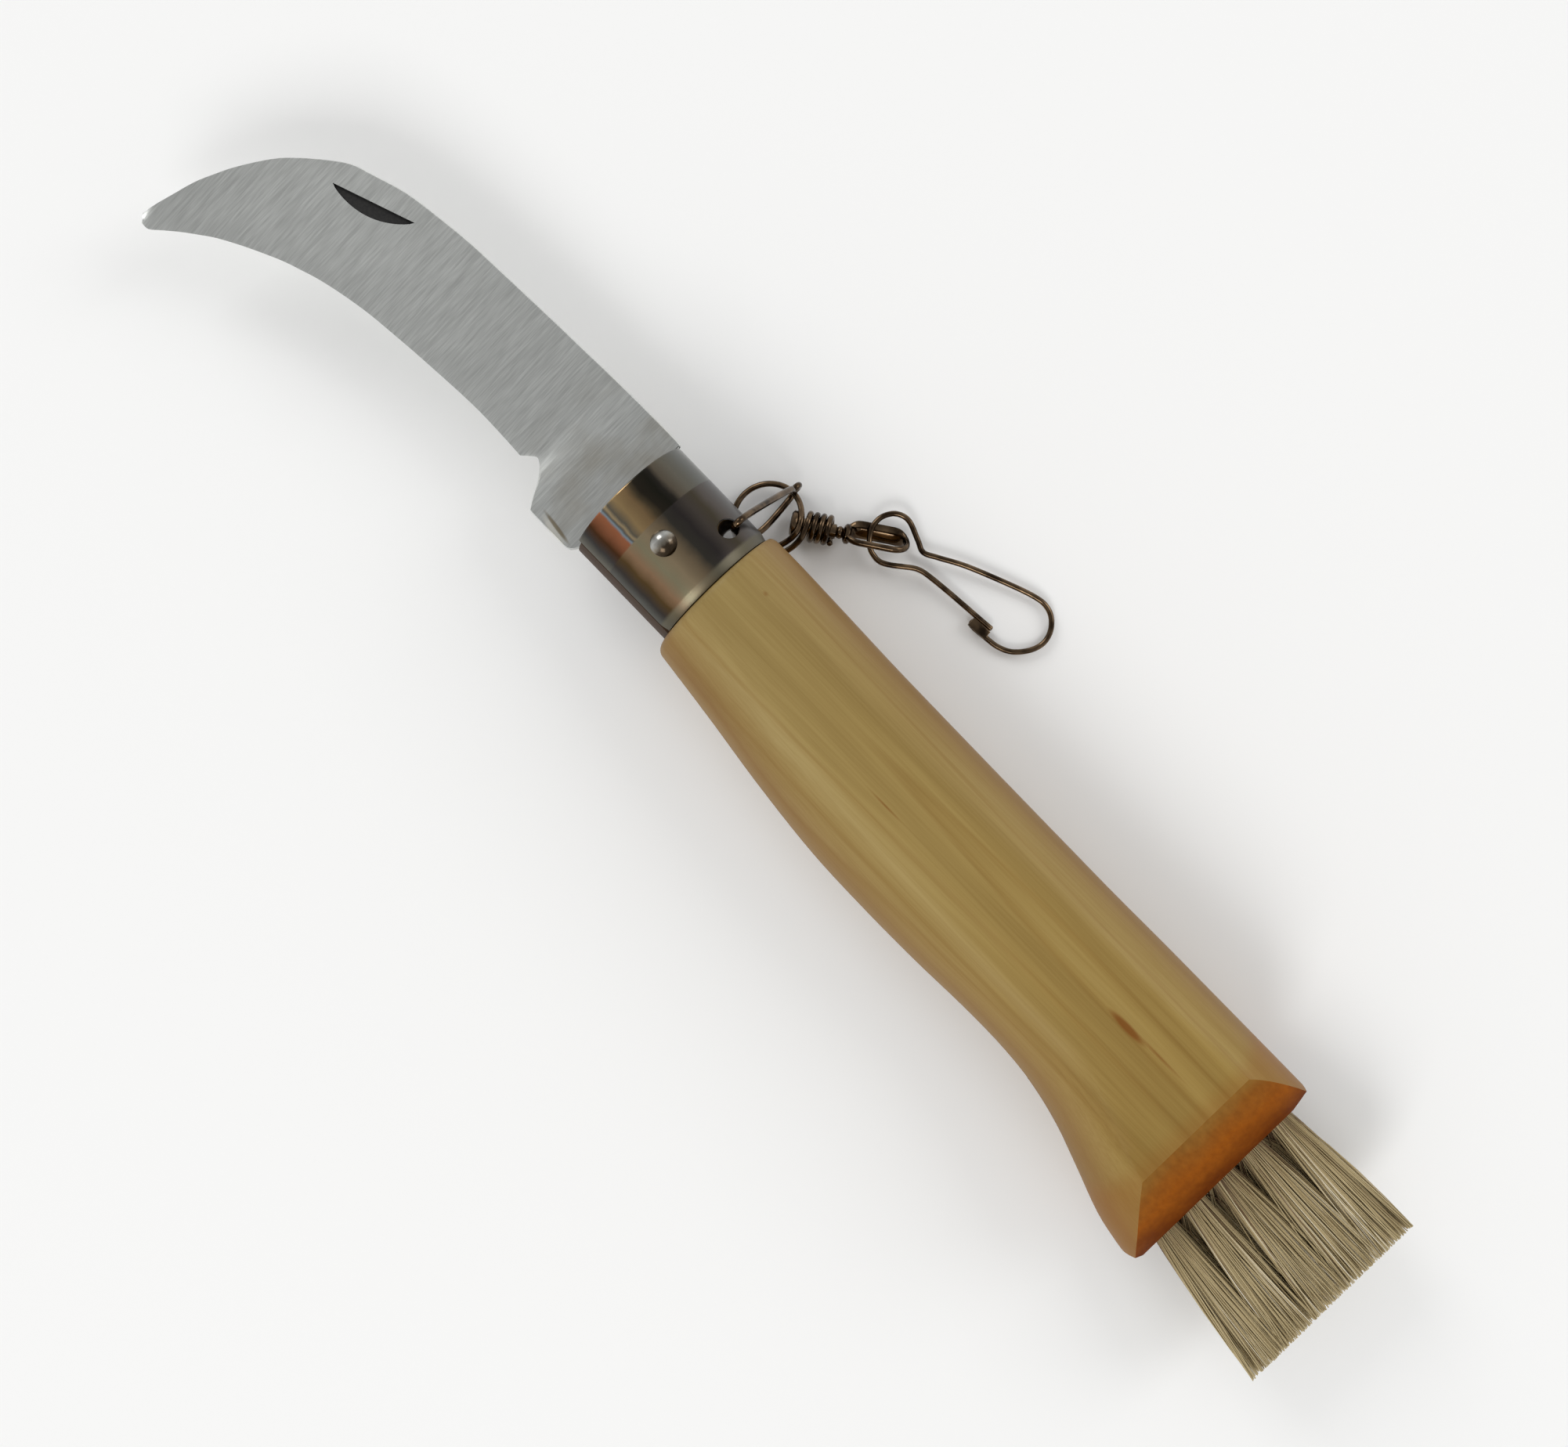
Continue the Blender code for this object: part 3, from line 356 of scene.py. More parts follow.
def wire(path: Path, radii: Pair, sides: int = 16, closed: bool = False, up: Vector | None = None) -> Solid:
    """A wire of round or oval section, with its ends domed.

    Args:
        path: Points of the centre line.
        radii: Half of the section's width in its two directions.
        sides: Sides round the section.
        closed: Whether the wire runs round.
        up: Direction of the second radius, or None for a round wire.

    Returns:
        A closed shell.
    """
    frames = wire_frames(path, closed, up)
    stops = [(point, pair, 1.0) for point, pair in zip(path, frames)]
    if not closed:
        first = (path[0] - path[1]).normalized()
        last = (path[-1] - path[-2]).normalized()
        dome = [(math.sin(math.radians(a)), math.cos(math.radians(a))) for a in DOME_DEGREES]
        reach = DOME_REACH * radii[0]
        head = [(path[0] + first * reach * s, frames[0], c) for s, c in reversed(dome)]
        tail = [(path[-1] + last * reach * s, frames[-1], c) for s, c in dome]
        stops = head + stops + tail
    turns = [math.tau * k / sides for k in range(sides)]
    rings = [
        [
            point + side * (radii[0] * scale * math.cos(turn)) + rise * (radii[1] * scale * math.sin(turn))
            for turn in turns
        ]
        for point, (side, rise), scale in stops
    ]
    return skinned(rings, looped=closed)


def mesh_of(work: Solid, name: str, material: bpy.types.Material) -> Mesh:
    """Writes a bmesh out as a mesh.

    Args:
        work: The bmesh, which is freed.
        name: Name of the mesh.
        material: Its material.

    Returns:
        The mesh.
    """
    mesh = bpy.data.meshes.new(name)
    work.to_mesh(mesh)
    work.free()
    mesh.materials.append(material)
    return mesh


def cutter(work: Solid, name: str, material: bpy.types.Material) -> tuple[Mesh, Cut]:
    """Makes a solid into a tool that cuts itself away.

    Args:
        work: The solid.
        name: Name of the tool.
        material: Material of the faces that it leaves.

    Returns:
        What carved takes as a tool.
    """
    return mesh_of(work, name, material), Cut.AWAY


def carved(base: Mesh, tools: Sequence[tuple[Mesh, Cut]]) -> Mesh:
    """Applies solids to a solid, one after the other.

    Args:
        base: The mesh worked on.
        tools: The solids and what each does. Its material goes on the faces that it leaves.

    Returns:
        The carved mesh.
    """
    collection = bpy.context.scene.collection
    target = bpy.data.objects.new(base.name, base)
    collection.objects.link(target)
    used = [target]
    for mesh, cut in tools:
        tool = bpy.data.objects.new(mesh.name, mesh)
        collection.objects.link(tool)
        used.append(tool)
        modifier = target.modifiers.new(mesh.name, "BOOLEAN")
        modifier.operation = cut.value
        modifier.solver = "EXACT"
        modifier.material_mode = "TRANSFER"
        modifier.object = tool
    graph = bpy.context.evaluated_depsgraph_get()
    result = bpy.data.meshes.new_from_object(target.evaluated_get(graph))
    result.name = base.name
    for obj in used:
        bpy.data.objects.remove(obj, do_unlink=True)
    clean = bmesh.new()
    clean.from_mesh(result)
    bmesh.ops.dissolve_degenerate(clean, edges=clean.edges, dist=WELD)
    clean.to_mesh(result)
    clean.free()
    return result


def smoothed(mesh: Mesh, angle: float = 40.0) -> Mesh:
    """Shades a mesh smooth but for its sharp edges.

    Args:
        mesh: The mesh.
        angle: Least angle of a sharp edge, in degrees.

    Returns:
        The same mesh.
    """
    mesh.shade_smooth()
    mesh.set_sharp_from_angle(angle=math.radians(angle))
    return mesh


def add_piece(
    name: str,
    mesh: Mesh,
    body: Body,
    replaced: Sequence[str],
    across: Body | None = None,
) -> Piece:
    """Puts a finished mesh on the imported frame.

    Args:
        name: Name of the piece.
        mesh: Its mesh, in the knife's millimetres.
        body: The body that it rides on.
        replaced: The CAD nodes that it stands for.

    Returns:
        The piece's object.
    """
    mesh.transform(TO_FRAME)
    piece = bpy.data.objects.new(name, mesh)
    bpy.context.scene.collection.objects.link(piece)
    if across is None:
        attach(piece, body.value)
    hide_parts(*replaced)
    LOG.info("%s: %d faces on %s", name, len(mesh.polygons), body.value)
    return piece


def soften(piece: Piece, width: float, angle: float) -> None:
    """Rounds a piece's sharp edges with a Bevel modifier.

    Args:
        piece: The piece.
        width: Width of the rounding in millimetres.
        angle: Least angle of an edge that is rounded, in degrees.
    """
    modifier = piece.modifiers.new("edges", "BEVEL")
    modifier.width = width * MM
    modifier.segments = 2
    modifier.limit_method = "ANGLE"
    modifier.angle_limit = math.radians(angle)
    modifier.harden_normals = True


# Finishes


def linear(colour: str) -> tuple[float, float, float, float]:
    """Turns an sRGB hex colour to linear light.

    Args:
        colour: Six hex digits after a hash.

    Returns:
        Red, green, blue and an alpha of 1.
    """
    parts = [int(colour[i : i + 2], 16) / 255 for i in (1, 3, 5)]
    light = [part / 12.92 if part <= 0.04045 else ((part + 0.055) / 1.055) ** 2.4 for part in parts]
    return (light[0], light[1], light[2], 1.0)


def per_mm(*sizes: float) -> tuple[float, ...]:
    """Turns the size of a pattern's marks to how many there are in a millimetre.

    Args:
        *sizes: Millimetres along each axis.

    Returns:
        Marks per millimetre along each axis.
    """
    return tuple(1.0 / size for size in sizes)


def add_node(
    tree: Tree,
    kind: str,
    inputs: Inputs | None = None,
    output: str = "",
    stops: Stops = (),
    **settings: Value,
) -> Socket:
    """Adds a node with its settings and links.

    Args:
        tree: The node tree.
        kind: The node's type, without the ShaderNode before it.
        inputs: For each socket, by name or number, its value, hex colour or the output that feeds it.
        output: The output's name, or nothing for the first one in use.
        stops: Places and hex colours of a colour ramp.
        **settings: Properties of the node.

    Returns:
        The node's output.
    """
    node = tree.nodes.new(f"ShaderNode{kind}")
    for name, value in settings.items():
        setattr(node, name, value)
    for key, value in (inputs or {}).items():
        if isinstance(key, int):
            socket = node.inputs[key]
        else:
            socket = next(item for item in node.inputs if item.enabled and item.name == key)
        if isinstance(value, Socket):
            tree.links.new(value, socket)
        else:
            socket.default_value = linear(value) if isinstance(value, str) else value
    if stops:
        ramp = node.color_ramp
        while len(ramp.elements) < len(stops):
            ramp.elements.new(1.0)
        for element, (place, colour) in zip(ramp.elements, stops):
            element.position = place
            element.color = linear(colour)
    return next(item for item in node.outputs if item.enabled and output in ("", item.name))


def stretched_noise(tree: Tree, place: Socket, sizes: Triple, detail: float = 2.0) -> Socket:
    """Noise whose marks have a real size along each axis.

    Args:
        tree: The material's node tree.
        place: Output with the place in the knife's millimetres.
        sizes: Size of the marks along each axis, in millimetres.
        detail: How finely the marks are broken up.

    Returns:
        The output with the noise.
    """
    scaled = add_node(tree, "Mapping", {"Vector": place, "Scale": per_mm(*sizes)})
    return add_node(tree, "TexNoise", {"Vector": scaled, "Scale": 1.0, "Detail": detail})


def oval_share(tree: Tree, place: Socket, oval: Inputs, full: float, most: float) -> Socket:
    """Share of a small mark's tone, which falls from the middle of an oval to its rim.

    Args:
        tree: The material's node tree.
        place: Output with the place in the knife's millimetres.
        oval: The mark's Location, its half sizes as Scale and, where it is turned, its Rotation.
        full: How far from rim to middle the share has reached its most.
        most: The share at its most.

    Returns:
        The output with the share.
    """
    unit = add_node(tree, "Mapping", {"Vector": place, **oval}, vector_type="TEXTURE")
    near = add_node(tree, "TexGradient", {"Vector": unit}, "Fac", gradient_type="SPHERICAL")
    spread = {"Value": near, "From Max": full, "To Max": most}
    return add_node(tree, "MapRange", spread, interpolation_type="SMOOTHSTEP")


@dataclass(frozen=True)
class Finish:
    """A surface finish on a Principled shader, patterned on places in the knife's millimetres."""

    name: str
    roughness: float
    metallic: float = 0.0
    specular: float = 0.5
    coat: float = 0.0
    coat_roughness: float = 0.03

    def material(self) -> bpy.types.Material:
        """Makes the material.

        Returns:
            The material with this finish's nodes.
        """
        material = bpy.data.materials.new(self.name)
        material.use_nodes = True
        tree = material.node_tree
        shader = tree.nodes["Principled BSDF"]
        shader.inputs["Roughness"].default_value = self.roughness
        shader.inputs["Metallic"].default_value = self.metallic
        shader.inputs["Specular IOR Level"].default_value = self.specular
        shader.inputs["Coat Weight"].default_value = self.coat
        shader.inputs["Coat Roughness"].default_value = self.coat_roughness
        place = add_node(tree, "TexCoord", output="Object")
        origin = tuple(-TO_FRAME.translation / MM)
        to_mm = {"Vector": place, "Scale": per_mm(MM, MM, MM), "Location": origin}
        for name, source in self.dress(tree, add_node(tree, "Mapping", to_mm)).items():
            tree.links.new(source, shader.inputs[name])
        return material

    def dress(self, tree: Tree, place: Socket) -> dict[str, Socket]:
        """Adds this finish's own nodes.

        Args:
            tree: The material's node tree.
            place: Output with the place in the knife's millimetres.

        Returns:
            What feeds the shader's sockets.
        """
        return {}


@dataclass(frozen=True)
class LacqueredWood(Finish):
    """Pale hardwood, turned, sanded along the grain and given a thin satin lacquer.

    It looks warm and even, with soft lengthwise bands about 5 mm wide, a few thin growth lines, fine fibres
    and a more amber tone towards the butt. Painted shade browns the sides where they turn away.
    """

    band_tones: Stops = ((0.33, "#968150"), (0.5, "#a5915e"), (0.66, "#af9d6d"))
    # Thin lines where the slow noise passes its middle, as growth rings show on a flat cut
    growth_tones: Stops = ((0.46, "#ffffff"), (0.495, "#cdb083"), (0.505, "#d8c29a"), (0.56, "#ffffff"))
    fibre_tones: Stops = ((0.3, "#ddd3c0"), (0.65, "#ffffff"))
    # More amber by the share of the way from the pivot to the butt
    age_tones: Stops = ((0.02, "#ffffff"), (0.3, "#f6f0e2"), (0.9, "#f0e2bf"))
    growth_share: float = 0.3
    fibre_share: float = 0.35
    # Size and detail of the bands, the growth lines and the fibres
    grains_mm: tuple[tuple[Triple, float], ...] = (
        ((130.0, 5.5, 8.0), 2.5),
        ((190.0, 6.5, 9.0), 1.0),
        ((14.0, 0.3, 0.3), 2.0),
    )
    # Painted shade where the sides turn away, orange stain just before the cut butt, darker between the
    # collar's lips
    side_shade_tone: str = "#7a5529"
    butt_tone: str = "#8a5518"
    between_lips_tone: str = "#3a2716"
    # For each zone the place where it starts, the place where it is full, and its share there
    side_shade_zone: Triple = (11.2, 6.0, 0.68)
    butt_zone: Triple = (103.2, 107.0, 0.4)
    neck_zone: Triple = (8.8, 8.5, 1.0)
    lips_zone: Triple = (-8.4, -8.8, 1.0)
    # Each brown mark's place, half length, half width and strength
    marks: Rows = (
        (90.2, -1.45, 4.2, 0.75, 1.6),
        (96.0, -1.05, 6.5, 0.4, 0.7),
        (46.2, -4.1, 4.4, 0.3, 0.7),
        (14.5, 4.2, 0.7, 0.5, 0.8),
    )
    mark_tone: str = "#75420f"
    mark_depth: float = 2.0
    mark_share: float = 0.85
    relief: float = 0.1
    relief_mm: float = 0.05

    def dress(self, tree: Tree, place: Socket) -> dict[str, Socket]:
        """Adds the grain, the marks, the painted shade on the sides and the darker zones.

        Args:
            tree: The material's node tree.
            place: Output with the place in the knife's millimetres.

        Returns:
            What feeds the shader's sockets.
        """
        bands, growth, fibres = (stretched_noise(tree, place, *grain) for grain in self.grains_mm)
        along, across, up = add_node(tree, "SeparateXYZ", {"Vector": place}).node.outputs
        age = add_node(tree, "MapRange", {"Value": along, "From Max": LAYOUT.butt_end})
        colour = add_node(tree, "ValToRGB", {"Fac": bands}, stops=self.band_tones)
        for source, stops, share in (
            (growth, self.growth_tones, self.growth_share),
            (fibres, self.fibre_tones, self.fibre_share),
            (age, self.age_tones, 1.0),
        ):
            tone = add_node(tree, "ValToRGB", {"Fac": source}, stops=stops)
            inputs = {"Factor": share, "A": colour, "B": tone}
            colour = add_node(tree, "Mix", inputs, data_type="RGBA", blend_type="MULTIPLY")
        height = add_node(tree, "Math", {0: up}, operation="ABSOLUTE")
        side, butt, neck, lips = (
            add_node(
                tree,
                "MapRange",
                {"Value": value, "From Min": start, "From Max": end, "To Max": share},
                interpolation_type=fade,
            )
            for value, (start, end, share), fade in (
                (height, self.side_shade_zone, "LINEAR"),
                (along, self.butt_zone, "SMOOTHSTEP"),
                (along, self.neck_zone, "LINEAR"),
                (across, self.lips_zone, "LINEAR"),
            )
        )
        between_lips = add_node(tree, "Math", {0: neck, 1: lips}, operation="MULTIPLY")
        # On the sides this is painted shade; by the butt it is stain; between the lips it is only darker
        layers = [(side, self.side_shade_tone), (butt, self.butt_tone), (between_lips, self.between_lips_tone)]
        for x, y, length, width, strength in self.marks:
            oval = {"Location": (x, y, LAYOUT.half_thickness), "Scale": (length, width, self.mark_depth)}
            layers.append((oval_share(tree, place, oval, 1.0 / strength, self.mark_share), self.mark_tone))
        for share, tone in layers:
            colour = add_node(tree, "Mix", {"Factor": share, "A": colour, "B": tone}, data_type="RGBA")
        grain = {"Height": fibres, "Strength": self.relief, "Distance": self.relief_mm * MM}
        return {"Base Color": colour, "Normal": add_node(tree, "Bump", grain)}


@dataclass(frozen=True)
class StainedButt(Finish):
    """The cut butt, where end grain has drunk the stain: burnt orange, and darker towards the end face by
    painted shade of the steeper bevel.
    """

    # By depth into the stained zone: its rim, then its upper, middle and lower parts; the lower part's darkness
    # is painted shade
    tones: Stops = ((0.02, "#8c6229"), (0.2, "#8c551a"), (0.5, "#93500c"), (0.95, "#662f04"))
    grain_tones: Stops = ((0.3, "#cfc4b8"), (0.7, "#ffffff"))
    grain_share: float = 0.5
    grain_mm: Triple = (4.0, 0.9, 0.9)
    patches_mm: Triple = (5.0, 8.0, 8.0)
    # How far the zone's rim wanders, and how far before and after the end face it reaches
    wander: float = 5.0
    reach: Pair = (8.1, 2.5)

    def dress(self, tree: Tree, place: Socket) -> dict[str, Socket]:
        """Adds the stain with its painted shade and the end grain.

        Args:
            tree: The material's node tree.
            place: Output with the place in the knife's millimetres.

        Returns:
            What feeds the shader's sockets.
        """
        along = add_node(tree, "SeparateXYZ", {"Vector": place})
        patches, grain = (
            stretched_noise(tree, place, sizes) for sizes in (self.patches_mm, self.grain_mm)
        )
        end = LAYOUT.butt_end
        soaked = add_node(tree, "Math", {0: patches, 1: self.wander, 2: along}, operation="MULTIPLY_ADD")
        span = {"Value": soaked, "From Min": end - self.reach[0], "From Max": end + self.reach[1]}
        # Stain tones, darkened towards the end face by painted shade
        stain = add_node(tree, "ValToRGB", {"Fac": add_node(tree, "MapRange", span)}, stops=self.tones)
        lines = add_node(tree, "ValToRGB", {"Fac": grain}, stops=self.grain_tones)
        inputs = {"Factor": self.grain_share, "A": stain, "B": lines}
        return {"Base Color": add_node(tree, "Mix", inputs, data_type="RGBA", blend_type="MULTIPLY")}


@dataclass(frozen=True)
class Mottled(Finish):
    """A surface of one stuff in two close tones, mixed in patches of a real size."""

    tones: tuple[str, str] = ("#808080", "#606060")
    patch_mm: float = 2.0
    rougher: float = 0.0
    # The noise values at which each tone is pure
    pure: Pair = (0.35, 0.65)

    def dress(self, tree: Tree, place: Socket) -> dict[str, Socket]:
        """Adds the patches, and with them the change in roughness.

        Args:
            tree: The material's node tree.
            place: Output with the place in the knife's millimetres.

        Returns:
            What feeds the shader's sockets.
        """
        inputs = {"Vector": place, "Scale": 1.0 / self.patch_mm, "Detail": 3.0}
        patches = add_node(tree, "TexNoise", inputs)
        stops = tuple(zip(self.pure, self.tones))
        fed = {"Base Color": add_node(tree, "ValToRGB", {"Fac": patches}, stops=stops)}
        if self.rougher:
            change = {"Value": patches, "To Min": self.roughness, "To Max": self.roughness + self.rougher}
            fed["Roughness"] = add_node(tree, "MapRange", change)
        return fed


@dataclass(frozen=True)
class RivetHeadPaintedLight(Finish):
    """A steel rivet head, with a painted highlight on the side towards the blade and painted brown shade in its
    lee.
    """

    # From the painted highlight on the blade's side of the head to the painted shade on the handle's
    tones: Stops = ((0.1, "#6f6d68"), (0.3, "#aaaaa6"), (0.5, "#8d8578"), (0.64, "#4a3f33"), (0.9, "#2c241a"))
    radius: float = 1.85
    patches_per_mm: float = 1.2
    wander: float = 0.8

    def dress(self, tree: Tree, place: Socket) -> dict[str, Socket]:
        """Adds the painted highlight and shade, from the blade's side to the handle's.

        Args:
            tree: The material's node tree.
            place: Output with the place in the knife's millimetres.

        Returns:
            What feeds the shader's sockets.
        """
        uneven = add_node(tree, "TexNoise", {"Vector": place, "Scale": self.patches_per_mm})
        along = add_node(tree, "SeparateXYZ", {"Vector": place})
        # Painted highlight towards the blade, painted shade towards the handle, with a wandering border
        light_to_shade = add_node(tree, "Math", {0: uneven, 1: self.wander, 2: along}, operation="MULTIPLY_ADD")
        middle = self.wander / 2
        span = {"Value": light_to_shade, "From Min": middle - self.radius, "From Max": middle + self.radius}
        share = add_node(tree, "MapRange", span)
        return {"Base Color": add_node(tree, "ValToRGB", {"Fac": share}, stops=self.tones)}


@dataclass(frozen=True)
class BrushedBladeSteel(Finish):
    """Stainless steel, ground across the blade and left satin.

    It looks evenly grey, with fine lines from spine to edge and brown-grey smudges by the collar.
    """

    line_tones: Stops = ((0.3, "#c1c3c0"), (0.7, "#d7d9d6"))
    lines_mm: Triple = (0.2, 4.0, 1.0)
    # The belt ran across the blade, leaning by these degrees towards the tip
    lean: float = 2.0
    smudge: str = "#988d76"
    clouds_mm: Triple = (7.0, 9.0, 9.0)
    # Where the smudges start and where they are thickest
    smudged: Pair = (-30.0, -9.0)
    # The cloud values where a smudge starts and is full, and its share there
    cloudy: Triple = (0.45, 0.7, 0.55)
    # The groove pressed in by the kick, drawn only in colour: a painted highlight on its floor, then painted
    # shade on its lip, each with its place, half length, half width and tone
    groove: tuple[tuple[float, float, float, float, str], ...] = (
        (-13.5, -10.6, 3.2, 0.7, "#efede3"),
        (-13.4, -10.05, 3.6, 0.4, "#8a7c60"),
    )
    groove_turn: float = -7.5
    groove_share: float = 0.8
    groove_full: float = 0.6
    face: float = 0.85
    # How much smoother and rougher it gets from line to line
    smoother: float = 0.04
    rougher: float = 0.08
    relief: float = 0.12
    relief_mm: float = 0.02

    def dress(self, tree: Tree, place: Socket) -> dict[str, Socket]:
        """Adds the grinding lines, the smudges and the groove's painted highlight and shade.

        Args:
            tree: The material's node tree.
            place: Output with the place in the knife's millimetres.

        Returns:
            What feeds the shader's sockets.
        """
        leaning = {"Vector": place, "Rotation": (0.0, 0.0, math.radians(-self.lean))}
        ground = add_node(tree, "Mapping", leaning)
        lines, clouds = (
            stretched_noise(tree, ground, sizes, 3.0) for sizes in (self.lines_mm, self.clouds_mm)
        )
        colour = add_node(tree, "ValToRGB", {"Fac": lines}, stops=self.line_tones)
        along = add_node(tree, "SeparateXYZ", {"Vector": place})
        by_collar = {"Value": along, "From Min": self.smudged[0], "From Max": self.smudged[1]}
        near = add_node(tree, "MapRange", by_collar, interpolation_type="SMOOTHSTEP")
        start, full, share = self.cloudy
        cloudy = {"Value": clouds, "From Min": start, "From Max": full, "To Max": share}
        dirty = add_node(tree, "MapRange", cloudy)
        layers = [(add_node(tree, "Math", {0: near, 1: dirty}, operation="MULTIPLY"), self.smudge)]
        turn = (0.0, 0.0, math.radians(self.groove_turn))
        # Painted highlight and painted shade of the groove
        for x, y, length, width, tone in self.groove:
            oval = {"Location": (x, y, self.face), "Rotation": turn, "Scale": (length, width, 1.0)}
            layers.append((oval_share(tree, place, oval, self.groove_full, self.groove_share), tone))
        for share, tone in layers:
            colour = add_node(tree, "Mix", {"Factor": share, "A": colour, "B": tone}, data_type="RGBA")
        change = {
            "Value": lines,
            "To Min": self.roughness - self.smoother,
            "To Max": self.roughness + self.rougher,
        }
        scratch = {"Height": lines, "Strength": self.relief, "Distance": self.relief_mm * MM}
        return {
            "Base Color": colour,
            "Roughness": add_node(tree, "MapRange", change),
            "Normal": add_node(tree, "Bump", scratch),
        }


@dataclass(frozen=True)
class SteelSheetPaintedReflections(Finish):
    """Rolled steel sheet, polished, with the room that it would mirror painted into its colour as bands round
    the collar.

    It goes from grey at the spine side over near black and tan to copper, all of it painted reflection. The
    front third is glossier, and the rolled rear rim has a pale painted reflection.
    """

    # Where the glossier front ends, and how sharp that border is to each side
    zone_edge: float = -3.05
    zone_blur: float = 0.1
    rear_rougher: float = 0.1
    # Painted reflections by degrees round the collar: 90 is the spine side, -90 the belly side
    front_reflection_tones: Stops = (
        (-90, "#4f493d"), (-70, "#4f493d"), (-60, "#5f5d54"), (-50, "#383635"), (-40, "#432b19"),
        (-31, "#89573d"), (-25, "#a5694a"), (-23, "#8fa2ac"), (-21.5, "#5f5c57"), (-19.5, "#b7a27e"),
        (-17, "#6f6a5e"), (-10, "#b99c6f"), (0, "#a38660"), (6, "#5f5340"), (10, "#37322a"),
        (20, "#26251f"), (25, "#2e2b27"), (30, "#5d5549"), (40, "#5e5a50"), (60, "#5f605c"),
        (90, "#5f605c"),
    )
    rear_reflection_tones: Stops = (
        (-90, "#4f473d"), (-70, "#4f473d"), (-60, "#51514c"), (-50, "#35302d"), (-40, "#503e25"),
        (-30, "#907358"), (-20, "#928a6f"), (-10, "#aa9779"), (0, "#917f65"), (10, "#45423c"),
        (20, "#34302f"), (30, "#453f3a"), (40, "#423c31"), (50, "#534d49"), (70, "#535150"),
        (90, "#535150"),
    )
    # How far the bands wander, in radians, and the size of the patches they wander in
    drift: float = 0.08
    drift_mm: float = 2.5
    # The rolled rear rim, with a pale painted reflection: its tone, where it starts, where it is full, its
    # share there and its roughness
    rim: str = "#6d6857"
    rim_sheen_zone: Triple = (6.9, 7.4, 0.65)
    rim_roughness: float = 0.5
    scratches_mm: Triple = (2.0, 0.15, 0.15)
    relief: float = 0.08
    relief_mm: float = 0.02

    def dress(self, tree: Tree, place: Socket) -> dict[str, Socket]:
        """Adds the bands of painted reflection, the glossier front, the rim's pale painted reflection and fine
        scratches.

        Args:
            tree: The material's node tree.
            place: Output with the place in the knife's millimetres.

        Returns:
            What feeds the shader's sockets.
        """
        along, across, up = add_node(tree, "SeparateXYZ", {"Vector": place}).node.outputs
        height = add_node(tree, "Math", {0: up}, operation="ABSOLUTE")
        turn = add_node(tree, "Math", {0: across, 1: height}, operation="ARCTAN2")
        patches = add_node(tree, "TexNoise", {"Vector": place, "Scale": 1.0 / self.drift_mm, "Detail": 3.0})
        turn = add_node(tree, "Math", {0: patches, 1: self.drift, 2: turn}, operation="MULTIPLY_ADD")
        middle = self.drift / 2
        span = {"Value": turn, "From Min": middle - math.pi / 2, "From Max": middle + math.pi / 2}
        share = add_node(tree, "MapRange", span)
        front, rear = (
            add_node(
                tree,
                "ValToRGB",
                {"Fac": share},
                stops=[((degrees + 90) / 180, colour) for degrees, colour in tones],
            )
            for tones in (self.front_reflection_tones, self.rear_reflection_tones)
        )
        edge, blur = self.zone_edge, self.zone_blur
        border = {"Value": along, "From Min": edge - blur, "From Max": edge + blur}
        zone = add_node(tree, "MapRange", border)
        start, full, most = self.rim_sheen_zone
        sheen_span = {"Value": along, "From Min": start, "From Max": full, "To Max": most}
        rim = add_node(tree, "MapRange", sheen_span)
        # Painted reflections by angle round the collar, then the pale painted reflection on the rear rim
        colour = add_node(tree, "Mix", {"Factor": zone, "A": front, "B": rear}, data_type="RGBA")
        colour = add_node(tree, "Mix", {"Factor": rim, "A": colour, "B": self.rim}, data_type="RGBA")
        change = {"Value": zone, "To Min": self.roughness, "To Max": self.roughness + self.rear_rougher}
        polish = {"Factor": rim, "A": add_node(tree, "MapRange", change), "B": self.rim_roughness}
        marks = stretched_noise(tree, place, self.scratches_mm, 3.0)
        scratch = {"Height": marks, "Strength": self.relief, "Distance": self.relief_mm * MM}
        return {
            "Base Color": colour,
            "Roughness": add_node(tree, "Mix", polish),
            "Normal": add_node(tree, "Bump", scratch),
        }


@dataclass(frozen=True)
class HogBristle(Finish):
    """Bleached natural bristle: matt straw, each strand its own tone, a few nearly white, with painted shade at
    the roots.
    """

    # The darkest tone is the painted shade at the strands' roots
    tones: Stops = ((0.0, "#674c33"), (0.3, "#a8956c"), (0.65, "#c0af86"), (1.0, "#e4dac2"))

    def dress(self, tree: Tree, place: Socket) -> dict[str, Socket]:
        """Reads each strand's tone from its attribute.

        Args:
            tree: The material's node tree.
            place: Output with the place in the knife's millimetres.

        Returns:
            What feeds the shader's sockets.
        """
        tone = add_node(tree, "Attribute", output="Fac", attribute_name="tone")
        return {"Base Color": add_node(tree, "ValToRGB", {"Fac": tone}, stops=self.tones)}


# The lacquer is thin and satin, so it hardly mirrors
LACQUERED = LacqueredWood("lacquered_pale_hardwood_painted_shade", 0.5, specular=0.1, coat=0.1, coat_roughness=0.3)
# End grain drinks the stain and stays dull
STAINED = StainedButt("stained_end_grain_painted_shade", 0.6, specular=0.05)
# Sawn and never lacquered, so dull
BARE = Mottled("bare_sawn_wood", 0.85, tones=("#4d3a25", "#6f5734"), patch_mm=1.5)
# Ground and left satin, so it shows one soft grey
BLADE_STEEL = BrushedBladeSteel("cross_brushed_stainless_steel", 0.34, 1.0)
# Polished; the dark and light bands that it would mirror are painted into its colour as reflections
COLLAR_STEEL = SteelSheetPaintedReflections("polished_steel_sheet_painted_reflections", 0.18, 1.0)
